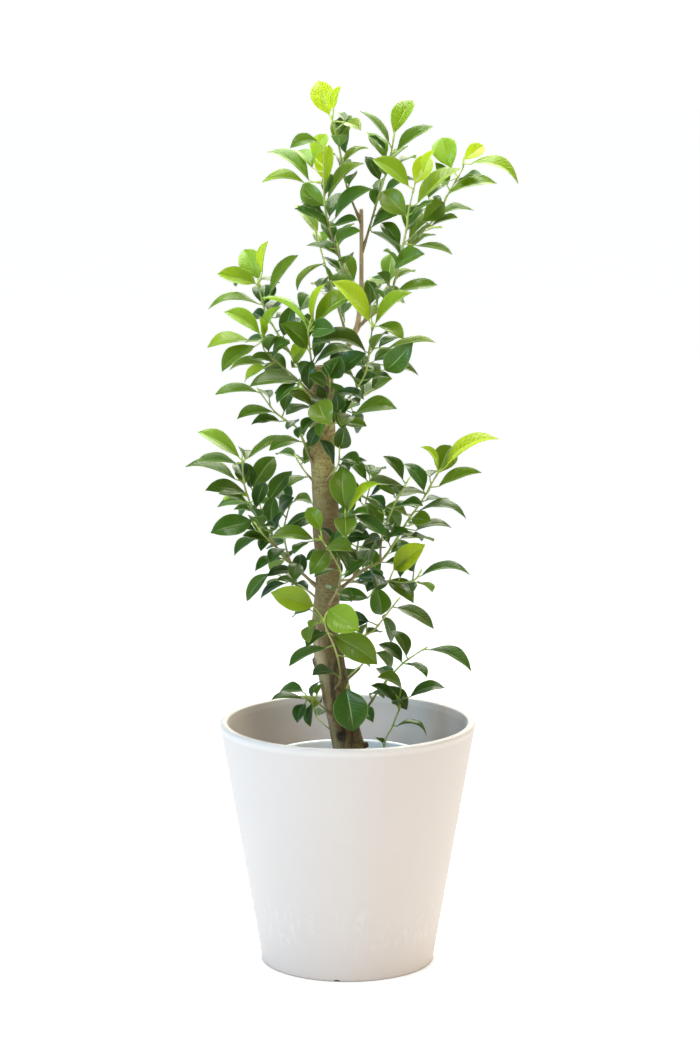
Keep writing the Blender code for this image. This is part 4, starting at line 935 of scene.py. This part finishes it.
def placeShoots():
    # Every stem's line and every leaf's place, as the solids have them
    trunk = spaced(trunkLine)
    leader = spaced(leaderLine)
    routes = {}
    lines = {}
    collars = {"trunk": []}
    carriersFirst = sorted(shoots, key=lambda s: s[1] not in ("trunk", "soil"))
    for name, carrier, radius, table, leaves in carriersFirst:
        route = deepRoute(table, routes.get(carrier))
        routes[name] = route
        if carrier == "soil":
            lines[name] = shootLine(route, radius)
            continue
        carriers = [trunk, leader] if carrier == "trunk" else [lines[carrier]]
        end, direction = collarEnd(route, radius, carriers)
        collar = tube([(route[0], radius), (end, radius)], stemSides)
        collars.setdefault(carrier, []).append(collar)
        lines[name] = shootLine([end + direction * seatGap] + route[1:], radius)
    thicket = Thicket()
    trunkParts = [tube(trunk, trunkSides), tube(leader, stubSides)]
    trunkParts += [tube([(Vector(a), wideA), (Vector(b), wideB)], stubSides) for a, b, wideA, wideB in stubs]
    for part in trunkParts + collars["trunk"]:
        thicket.add("trunk", *part)
    for name, line in [(row[0], lines[row[0]]) for row in shoots]:
        for part in [tube(line, stemSides, budLength)] + collars.get(name, []):
            thicket.add(name, *part)
    placed = []
    covered = [shown(point) for point, radius in smoothed(trunk, inner["coverStep"])]
    for name, carrier, radius, table, rows in shoots:
        leaves = [(thicket.settle(name, readLeaf(row, lines[name])), row[6]) for row in rows]
        placed.append((name, routes[name][0], lines[name], leaves))
        covered += [shown(leaf.at(share)) for leaf, tone in leaves for share in (0.2, 0.5, 0.8)]
    rng = random.Random(seeds["innerLeaves"])
    for name, inside, line, leaves in placed:
        addInnerLeaves(thicket, name, line, leaves, covered, rng)
    print("leaves placed:", sum(len(leaves) for name, inside, line, leaves in placed))
    return placed


def makeFoliage(finishes):
    rng = random.Random(seeds["leaves"])
    for name, inside, line, leaves in placeShoots():
        mould = Mould()
        mean = sum(tone for leaf, tone in leaves) / len(leaves)
        fine = addStem(mould, line, inside, [leaf.root for leaf, tone in leaves], mean)
        addBud(mould, fine, mean)
        for leaf, tone in leaves:
            root = min((place for place, radius in fine), key=lambda p: (p - leaf.root).length)
            z = leaf.foot.z
            tone += (tint["higher"] * eased(600, 900, z) - tint["lower"] * eased(620, 420, z)) * (1 - tone)
            tone += rng.uniform(-tint["range"], tint["range"])
            addPetiole(mould, leaf, root, tone)
            addBlade(mould, leaf, min(1.0, max(0.0, tone)), rng)
        mould.piece(name + "_leaves", "foliage", [name], finishes)
    print("shoots made")


# Colours from dark and old to lime and new, as (age, colour), then what sets each side apart
leafSides = dict(
    upper=dict(stops=[(0.0, (0.022, 0.072, 0.007)), (0.3, (0.058, 0.146, 0.010)),
                      (0.5, (0.130, 0.230, 0.013)), (0.75, (0.24, 0.36, 0.017)), (1.0, (0.46, 0.62, 0.03))],
               pale=(0.48, 0.62, 0.20), roughness=0.38, coat=0.22, relief=0.0007),
    under=dict(stops=[(0.0, (0.10, 0.19, 0.055)), (0.5, (0.20, 0.33, 0.07)), (1.0, (0.52, 0.68, 0.06))],
               pale=(0.54, 0.64, 0.26), roughness=0.55, coat=0.0, relief=-0.0006))
shineThrough = [(0.30, (0.21, 0.40, 0.01)), (0.38, (0.33, 0.51, 0.01)), (0.44, (0.49, 0.66, 0.02)),
                (0.48, (0.68, 0.85, 0.02)), (0.54, (0.88, 1.0, 0.05))]  # share and colour, old to new
blueGreens = (0.016, 0.085, 0.024), (0.22, 0.50, 0.10)
olives = (0.060, 0.095, 0.010), (0.40, 0.50, 0.04)
veinPairs = 11


def leafFinish(side, kind):
    look = leafSides[side]
    pale = look["pale"]
    finish = Finish(f"leaf_{side}_{kind}")
    a = finish.value("across").maths("ABSOLUTE", finish.value("across"))
    s = finish.value("along")
    tone = finish.value("tone") + (finish.noise(55, detail=2) - 0.5) * 0.16
    rib = a.between(0.055, 0.015) * s.between(1.0, 0.60)
    run = s * veinPairs - a * 2.4
    veins = run.maths("PINGPONG", run, 0.5).between(0.14, 0.0) * a.between(1.0, 0.75) * a.between(0.0, 0.2)
    edge = a.between(0.93, 0.995)
    hue = finish.value("hue")
    age = tone.between(0.1, 0.9)
    green = blend(hue.between(0.2, 1.0) * 0.5, tone.ramp(look["stops"]), blend(age, *blueGreens))
    green = blend(hue.between(0.0, -1.0) * 0.7, green, blend(age, *olives))
    shade = blend(veins * tone.between(0.2, 0.8) * 0.32, green, pale)
    shade = blend(rib * 0.85, shade, pale)
    shade = blend(edge * 0.6, shade, pale)
    finish.wear(shade, look["roughness"] + (finish.noise(120) - 0.5) * 0.14,
                veins * -1.0 - rib + finish.noise(300) * 0.35, look["relief"], others={
                    "Specular IOR Level": 0.36, "Coat Weight": look["coat"], "Coat Roughness": 0.16})
    share, colour = shineThrough[kind]
    finish.letThrough((1 - veins * 0.35) * (1 - rib * 0.6) * (1 - edge * 0.4) * share, colour)
    return finish


def leafFinishes():
    return {f"{side}{kind}": leafFinish(side, kind) for kind in range(toneClasses) for side in leafSides}


def stemFinishes():
    young = Finish("young_stem")
    spots = young.noise(900, (1, 1, 0.4), 2).between(0.56, 0.66)
    wood = blend(young.noise(160), (0.19, 0.13, 0.055), (0.35, 0.27, 0.12))
    green = blend(young.noise(120), (0.34, 0.42, 0.09), (0.52, 0.60, 0.18))
    newer = (young.value("along") + (young.noise(60) - 0.5) * 0.3).between(0.05, 0.5)
    shade = blend(spots * 0.5, blend(newer, wood, green), (0.42, 0.36, 0.22))
    young.wear(shade, 0.6, young.noise(500, (1, 1, 0.3)), 0.0003)
    stalk = Finish("petiole")
    shade = blend(stalk.value("tone").between(0.1, 0.9), (0.26, 0.38, 0.07), (0.55, 0.66, 0.12))
    stalk.wear(shade, 0.42 + (stalk.noise(300) - 0.5) * 0.1, stalk.noise(600), 0.0001)
    tip = Finish("bud")
    tip.wear(blend(tip.noise(260), (0.42, 0.60, 0.06), (0.66, 0.80, 0.14)), 0.35, tip.noise(500), 0.0001)
    return {"stem": young, "petiole": stalk, "bud": tip}


# Trunk

bark = dict(step=5.0, sides=40, leaderSides=16, knobSides=18, voxel=1.35, soften=4, lumps=0.8, lumpSize=26,
            flutes=0.35, fluteSize=(8, 8, 70), rings=0.22, ringSize=(40, 40, 2.6), woundSize=3.5,
            leaderFrom=765, leaderRelief=0.35)
# Where branches were cut, and the hollow: the middle, its reach and how far it stands out
scars = [((-30, -16, 722), 11, 1.2), ((-46, -6, 426), 9, 1.4), ((-42, 0, 378), 9, 1.2),
         ((-9, -17, 288), 9, -2.6), ((25, -4, 276), 6, 0.8), ((-5, -2, 770), 5, 0.8), ((-35, 0, 752), 9, 0.6)]


def makeTrunk(finishes):
    mould = Mould()
    parts = [(smoothed(spaced(trunkLine), bark["step"]), bark["sides"]),
             (smoothed(spaced(leaderLine), bark["step"]), bark["leaderSides"])]
    parts += [([(Vector(a), wideA), (Vector(b), wideB)], bark["knobSides"]) for a, b, wideA, wideB in stubs]
    for line, sides in parts:
        mould.add(*tube(line, sides), "bark")
    rough = inScene(bpy.data.objects.new("trunk_rough", mould.plainMesh("trunk_rough")))
    skin = rough.modifiers.new("skin", "REMESH")
    skin.mode = "VOXEL"
    skin.voxel_size = bark["voxel"] * mm
    soft = rough.modifiers.new("soft", "SMOOTH")
    soft.iterations = bark["soften"]
    soft.factor = 0.5
    mesh = applied(rough)
    bpy.data.objects.remove(rough)
    mesh.name = "trunk_wood"
    # how near each point lies to a cut scar or the hollow: the scars' own dark colour, and painted shade in
    # the hollow
    scarAndHollowShades = []
    moved = []
    for place, way in [(vertex.co.copy(), vertex.normal.copy()) for vertex in mesh.vertices]:
        p = place / mm
        push = noise.noise(p / bark["lumpSize"]) * bark["lumps"]
        for height, size in (("flutes", "fluteSize"), ("rings", "ringSize")):
            push += noise.noise(Vector([a / b for a, b in zip(p, bark[size])])) * bark[height]
        wound = 0.0
        for scar, reach, height in scars:
            near = math.exp(-(p - Vector(scar)).length_squared / reach ** 2)
            push += height * near * (0.6 + 0.8 * noise.noise(p / bark["woundSize"]))
            wound = max(wound, near)
        thin = bark["leaderRelief"] if p.z > bark["leaderFrom"] else 1.0
        moved.extend(place + way * (push * thin * mm))
        scarAndHollowShades.append(wound)
    mesh.vertices.foreach_set("co", moved)
    mesh.materials.clear()
    mesh.materials.append(finishes["bark"].material)
    standing(carrying(mesh, {"wound": scarAndHollowShades}), ["trunk"])
    print("trunk made:", len(mesh.polygons), "faces")


def barkFinish():
    finish = Finish("bark")
    height = finish.place().axis("Z")
    rings = finish.noise(1, (45, 45, 300), 4, 0.6)
    streaks = finish.noise(1, (160, 160, 22), 4, 0.6)
    patches = finish.noise(17, detail=4)
    fine = finish.noise(900)
    brown = finish.noise(1, (330, 330, 560), 3, 0.6).between(0.54, 0.66)
    pale = finish.noise(1, (300, 300, 640), 2).between(0.60, 0.68)
    left = (finish.place().axis("X") + height * 0.17 - 0.039).between(0.003, -0.009)  # of the leaning foot
    lower = height.between(0.46, 0.38)
    wound = finish.value("wound") + (fine - 0.5) * 0.5
    shade = blend(patches.between(0.36, 0.60), (0.25, 0.165, 0.042), (0.52, 0.42, 0.135))
    layers = [  # each where it shows, and its colour
        (rings.between(0.45, 0.66) * 0.5, (0.14, 0.080, 0.020)),
        (brown * 0.8, (0.10, 0.050, 0.012)),
        (pale * 0.5, (0.68, 0.58, 0.30)),
        # painted shade: the trunk made darker from 0.66 m down to 0.54 m, standing in for the shadow of the
        # foliage above
        (height.between(0.66, 0.54) * 0.72, (0.105, 0.066, 0.020)),
        (lower * left * 0.8, (0.60, 0.46, 0.24)),
        (lower * streaks.between(0.46, 0.60) * (0.85 - left * 0.45), (0.050, 0.030, 0.010)),
        # dark on the cut scars, which is their own colour, and in the shallow hollow, where the dark is
        # painted shade standing in for its depth
        (wound.between(0.25, 0.85) * 0.9, (0.030, 0.019, 0.012)),
        (height.between(0.765, 0.80) * 0.8, (0.72, 0.49, 0.30))]
    for share, colour in layers:
        shade = blend(share, shade, colour)
    relief = rings * 0.7 + streaks * lower * 1.5 + fine * 0.35 + pale * 0.5 - brown * 0.3
    return {"bark": finish.wear(shade, 0.60 + (patches - 0.5) * 0.3, relief, 0.0016, 0.9)}


# Soil

ground = dict(top=240.0, crown=4.0, rings=26, sides=72, lumps=2.2, lumpSize=9, smallLumpSize=3, inset=0.5,
              footRadius=74.0)
# What lies on it: finish, count, smallest and largest size, and stretch
litter = [("soil", 900, 1.0, 3.2, (1, 0.9, 0.75)), ("chip", 150, 2.0, 6.0, (1.6, 0.8, 0.35)),
          ("stone", 130, 0.9, 2.4, (1, 0.9, 0.75))]


def makeSoil(finishes):
    g = ground
    rng = random.Random(seeds["soil"])
    low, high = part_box("soil")
    reach = high.x / mm - g["inset"]

    def onSurface(x, y, above=0.0):
        out = math.hypot(x, y) / reach
        lump = noise.noise(Vector((x / g["lumpSize"], y / g["lumpSize"], 0))) * g["lumps"]
        lump += noise.noise(Vector((x / g["smallLumpSize"], y / g["smallLumpSize"], 4))) * g["lumps"] * 0.4
        return Vector((x, y, g["top"] + g["crown"] * (1 - out * out) + lump * (1 - out ** 6) + above))

    sides = g["sides"]
    points = [onSurface(0, 0)]
    for i in range(1, g["rings"] + 1):
        radius = reach * i / g["rings"]
        points += [onSurface(radius * x, radius * y) for x, y in circle(sides)]
    points += [Vector((g["footRadius"] * x, g["footRadius"] * y, low.z / mm)) for x, y in circle(sides)]
    faces = [(0, 1 + j, 1 + (j + 1) % sides) for j in range(sides)]
    faces += bands(g["rings"] + 1, sides, 1, flipped=True)
    faces.append(tuple(reversed(range(len(points) - sides, len(points)))))
    mould = Mould()
    mould.add(points, faces, "soil")
    for look, count, small, large, stretch in litter:
        for i in range(count):
            out = reach * math.sqrt(rng.random()) * 0.97
            turn = rng.uniform(0, 2 * math.pi)
            size = rng.uniform(small, large)
            centre = onSurface(out * math.cos(turn), out * math.sin(turn), size * 0.15)
            addCrumb(mould, centre, size, look, Vector(stretch), rng)
    mould.piece("soil_surface", "potting_soil", ["soil"], finishes, 40)
    print("soil made")


def addCrumb(mould, centre, size, look, stretch, rng):
    # A lump whose corners, five above and five below, are pushed about
    hinge = rng.uniform(-1, 1), rng.uniform(-1, 1), rng.uniform(-0.4, 0.4)
    spin = Quaternion(hinge, rng.uniform(-0.7, 0.7))
    spin = spin @ Quaternion((0, 0, 1), rng.uniform(0, 6.3))
    points = []
    for z in (-1, 1):
        for j in range(5):
            turn = 2 * math.pi * (j + 0.5 * (z > 0)) / 5
            corner = Vector((math.cos(turn), math.sin(turn), z * rng.uniform(0.5, 0.8)))
            corner *= rng.uniform(0.75, 1.0)
            points.append(centre + spin @ Vector([a * b * size * 0.6 for a, b in zip(corner, stretch)]))
    points += [centre + spin @ Vector((0, 0, z * stretch.z * size * 0.6)) for z in (-0.75, 0.85)]
    faces = []
    for j in range(5):
        k = (j + 1) % 5
        faces += [(10, k, j), (11, 5 + j, 5 + k), (j, k, 5 + j), (k, 5 + k, 5 + j)]
    mould.add(points, faces, look, rng.random())


def soilFinishes():
    soil = Finish("potting_soil")
    grain = soil.noise(420, detail=4)
    shade = blend(grain.between(0.3, 0.7), (0.020, 0.012, 0.007), (0.085, 0.055, 0.034))
    shade = blend(soil.noise(40).between(0.5, 0.75) * 0.5, shade, (0.13, 0.09, 0.055))
    soil.wear(shade, 0.92 + (grain - 0.5) * 0.1, grain, 0.0015)
    chip = Finish("bark_chip")
    chip.wear(blend(chip.value("tone"), (0.07, 0.040, 0.022), (0.24, 0.145, 0.08)), 0.8,
              chip.noise(1, (300, 300, 900)), 0.0008)
    stone = Finish("perlite")
    stone.wear(blend(stone.noise(500), (0.58, 0.56, 0.52), (0.80, 0.79, 0.76)), 0.85,
               stone.noise(1200), 0.0004)
    return {"soil": soil, "chip": chip, "stone": stone}


# The two pots

planter = dict(baseRadius=107.5, fullRound=0.7, wall=8.0, lip=10.0, floor=7.0, sides=160, step=9.0,
               footRound=2.6, lipRound=5.2, innerLipRound=2.4, floorRound=8.0)
drain = dict(count=4, turn=-97.0, ring=62.0, radius=6.0, sides=32, width=9.0, height=2.6, arch=12)
innerPot = dict(lipRadius=101.0, baseRadius=78.0, wall=2.0, floor=3.0, lipDrop=14.0, sides=120)
nearAxis = 0.01  # the radius of a turned profile's first and last point


def makePlanter(finishes):
    p = planter
    low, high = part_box("planter")
    top = high.z / mm
    slope = (high.x / mm + p["fullRound"] - p["baseRadius"]) / top

    def outer(z):
        return p["baseRadius"] + slope * z

    profile = rounded([
        (nearAxis, 0, 0), (outer(0), 0, p["footRound"]), (outer(top), top, p["lipRound"]),
        (outer(top) - p["lip"], top, p["innerLipRound"]),
        (outer(p["floor"]) - p["wall"], p["floor"], p["floorRound"]), (nearAxis, p["floor"], 0)])
    fine = []
    for (r, z), (nextR, nextZ) in zip(profile, profile[1:]):
        count = max(1, round(math.hypot(nextR - r, nextZ - z) / p["step"]))
        fine += [(r + (nextR - r) * k / count, z + (nextZ - z) * k / count) for k in range(count)]
    mould = Mould()
    mould.add(*lathe(fine + [profile[-1]], p["sides"]), "resin")
    body = mould.piece("planter_shell", "planter_resin", ["planter"], finishes, 60)
    cutters = bpy.data.collections.new("drain")
    bpy.context.scene.collection.children.link(cutters)
    for i in range(drain["count"]):
        angle = math.radians(drain["turn"] + 360 * i / drain["count"])
        cutter = drainCutter(Vector((math.cos(angle), math.sin(angle), 0)))
        cutters.objects.link(bpy.data.objects.new("drain", cutter.plainMesh("drain")))
    cut = body.modifiers.new("drain", "BOOLEAN")
    cut.operation = "DIFFERENCE"
    cut.operand_type = "COLLECTION"
    cut.collection = cutters
    mesh = applied(body)
    body.modifiers.clear()
    body.data = mesh
    for cutter in list(cutters.objects):
        bpy.data.objects.remove(cutter)
    bpy.data.collections.remove(cutters)
    mesh.set_sharp_from_angle(angle=math.radians(60))
    print("planter made:", len(mesh.polygons), "faces")


def drainCutter(out):
    # A round hole through the floor, and an arched groove from it to the pot's edge
    d = drain
    up = Vector((0, 0, 1))
    hole = out * d["ring"]
    across = Vector((-out.y, out.x, 0))
    cutter = Mould()
    cutter.add(*tube([(hole - up, d["radius"]), (hole + up * (planter["floor"] + 1), d["radius"])],
                     d["sides"]), "resin")
    arch = []
    for step in range(d["arch"] + 1):
        turn = math.pi * step / d["arch"]
        arch.append(across * (math.cos(turn) * d["width"] / 2) + up * (math.sin(turn) * d["height"]))
    arch += [-across * d["width"] / 2 - up, across * d["width"] / 2 - up]
    far = out * (planter["baseRadius"] + 5 - d["ring"])
    points = [hole + point for point in arch] + [hole + far + point for point in arch]
    cutter.add(points, caps(len(points), len(arch)) + bands(2, len(arch)), "resin")
    return cutter


def makeInnerPot(finishes):
    p = innerPot
    low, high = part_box("inner_pot")
    base = low.z / mm
    top = high.z / mm
    rim = high.x / mm
    lip = p["lipRadius"]
    lipBase = top - p["lipDrop"]
    body = lip - 4
    floor = base + p["floor"]
    mould = Mould()
    mould.add(*lathe(rounded([
        (nearAxis, base, 0), (p["baseRadius"], base, 3.0), (body, lipBase, 0.8), (lip, lipBase + 1, 0.8),
        (lip + 0.6, top - 5, 0.8), (rim, top - 4, 1.2), (rim, top, 1.4), (lip - 2, top, 1.0),
        (lip - 3, top - 2, 1.0), (body - p["wall"], lipBase - 2, 1.0),
        (p["baseRadius"] - p["wall"], floor, 3.0), (nearAxis, floor, 0)], 4), p["sides"]), "nursery")
    mould.piece("nursery_pot", "nursery_pot", ["inner_pot"], finishes)
    print("nursery pot made")


def potFinishes():
    resin = Finish("planter_resin")
    height = resin.place().axis("Z")
    cloud = resin.noise(7, detail=4)
    grain = resin.noise(900, detail=2)
    scuffs = resin.noise(1, (120, 120, 60), 6, 0.75).between(0.50, 0.60) * height.between(0.030, 0.05)
    scuffs = scuffs * height.between(0.105, 0.08) * resin.noise(16).between(0.40, 0.58)
    shade = blend(cloud, (0.685, 0.616, 0.570), (0.717, 0.652, 0.612))
    # painted highlight: the resin made lighter along the top of the lip, where the rounded lip catches the
    # light
    shade = blend(height.between(0.2940, 0.2975) * 0.35, shade, (0.90, 0.86, 0.82))
    resin.wear(blend(scuffs * 0.2, shade, (0.90, 0.90, 0.90)), 0.52 + (cloud - 0.5) * 0.12 + scuffs * 0.2,
               grain + resin.noise(60) * 1.2, 0.00012, others={"Specular IOR Level": 0.3})
    nursery = Finish("nursery_pot")
    rub = nursery.noise(1, (30, 30, 200), 4).between(0.55, 0.75)
    nursery.wear(blend(rub * 0.3, (0.95, 0.97, 0.99), (0.84, 0.85, 0.85)), 0.32 + rub * 0.25,
                 nursery.noise(500), 0.0001)
    return {"resin": resin, "nursery": nursery}


# Studio

studio = dict(cameraPlace=(0.003, -3.88, 1.20), downTilt=9.48, lens=109.2, longSide=36.0, floor=60.0,
              background=1.05, roomBehind=1.0, roomInFront=0.18, leftSide=(0.58, 0.87, 1.30), leftLight=0.56,
              rightSide=(1.04, 0.89, 0.60), rightLight=0.70, floorGlow=0.85,
              # painted shadow in the floor's glow: near-black under the pot, warm grey round its foot, white
              # further out
              glow=[(0.0, (0.05, 0.05, 0.05)), (0.105, (0.05, 0.05, 0.05)), (0.111, (0.95, 0.89, 0.82)),
                    (0.26, (1.0, 1.0, 1.0))])  # by the distance from the middle in metres
# Name, place, size, watts and colour
lamps = [("key", (-1.5, -1.7, 2.1), 0.55, 14, (0.88, 0.94, 1.0)),
         ("window", (-1.5, -0.9, 1.15), 0.45, 14, (0.40, 0.72, 1.0)),
         ("fill", (1.9, -1.7, 1.2), 0.6, 10, (1.0, 0.88, 0.70)),
         ("top", (0.0, 0.1, 1.95), 0.9, 31, (1.0, 0.985, 0.93)),
         ("back", (0.3, 1.2, 1.7), 0.9, 24, (1.0, 0.98, 0.84))]


def makeStudio():
    s = studio
    lens = bpy.data.cameras.new("camera")
    lens.sensor_width = s["longSide"]
    lens.lens = s["lens"]
    eye = inScene(bpy.data.objects.new("camera", lens))
    eye.location = s["cameraPlace"]
    eye.rotation_euler = (math.radians(90 - s["downTilt"]), 0, 0)
    bpy.context.scene.camera = eye
    world = bpy.data.worlds.new("studio")
    world.use_nodes = True
    bpy.context.scene.world = world
    start = Wire(world.node_tree)
    way = start.node("ShaderNodeTexCoord", output="Generated")
    toRight = way.axis("X").between(-0.8, 0.8)
    strength = s["roomInFront"] + way.axis("Y").between(-0.3, 0.8) * (s["roomBehind"] - s["roomInFront"])
    strength = strength * (s["leftLight"] + toRight * (s["rightLight"] - s["leftLight"]))
    room = start.node("ShaderNodeBackground", inputs={
        "Color": blend(toRight, s["leftSide"], s["rightSide"]), "Strength": strength})
    white = start.node("ShaderNodeBackground", inputs={"Color": (1, 1, 1, 1), "Strength": s["background"]})
    seen = start.node("ShaderNodeLightPath", output="Is Camera Ray")
    both = start.node("ShaderNodeMixShader", inputs={0: seen, 1: room, 2: white})  # a white backdrop
    fill(world.node_tree, world.node_tree.nodes["World Output"].inputs, {"Surface": both})
    for name, place, size, power, colour in lamps:
        data = bpy.data.lights.new(name, "AREA")
        data.size = size
        data.energy = power
        data.color = colour
        lamp = inScene(bpy.data.objects.new(name, data))
        lamp.location = place
        aim = Vector((0, 0, 0.6)) - Vector(place)
        lamp.rotation_euler = aim.to_track_quat("-Z", "Y").to_euler()
    half = s["floor"] / 2
    mesh = bpy.data.meshes.new("floor")
    corners = [(-half, -half, 0), (half, -half, 0), (half, half, 0), (-half, half, 0)]
    mesh.from_pydata(corners, [], [(0, 1, 2, 3)])
    paper = Finish("floor_paper")
    away = paper.start.node("ShaderNodeVectorMath", {"operation": "LENGTH"}, {0: paper.place()}, "Value")
    # painted shadow: the paper's own colour made near-black under the pot
    fill(paper.tree, paper.shader.inputs, {
        "Base Color": blend(away.between(0.104, 0.109), (0.01, 0.01, 0.01), (0.6, 0.6, 0.6)),
        "Roughness": 0.9, "Specular IOR Level": 0.0,
        "Emission Color": away.ramp(s["glow"]), "Emission Strength": s["floorGlow"]})
    mesh.materials.append(paper.material)
    inScene(bpy.data.objects.new("floor", mesh))
    bpy.context.scene.view_settings.view_transform = "Standard"


makeStudio()
allFinishes = leafFinishes() | stemFinishes() | barkFinish() | soilFinishes() | potFinishes()
makePlanter(allFinishes)
makeInnerPot(allFinishes)
makeSoil(allFinishes)
makeTrunk(allFinishes)
makeFoliage(allFinishes)
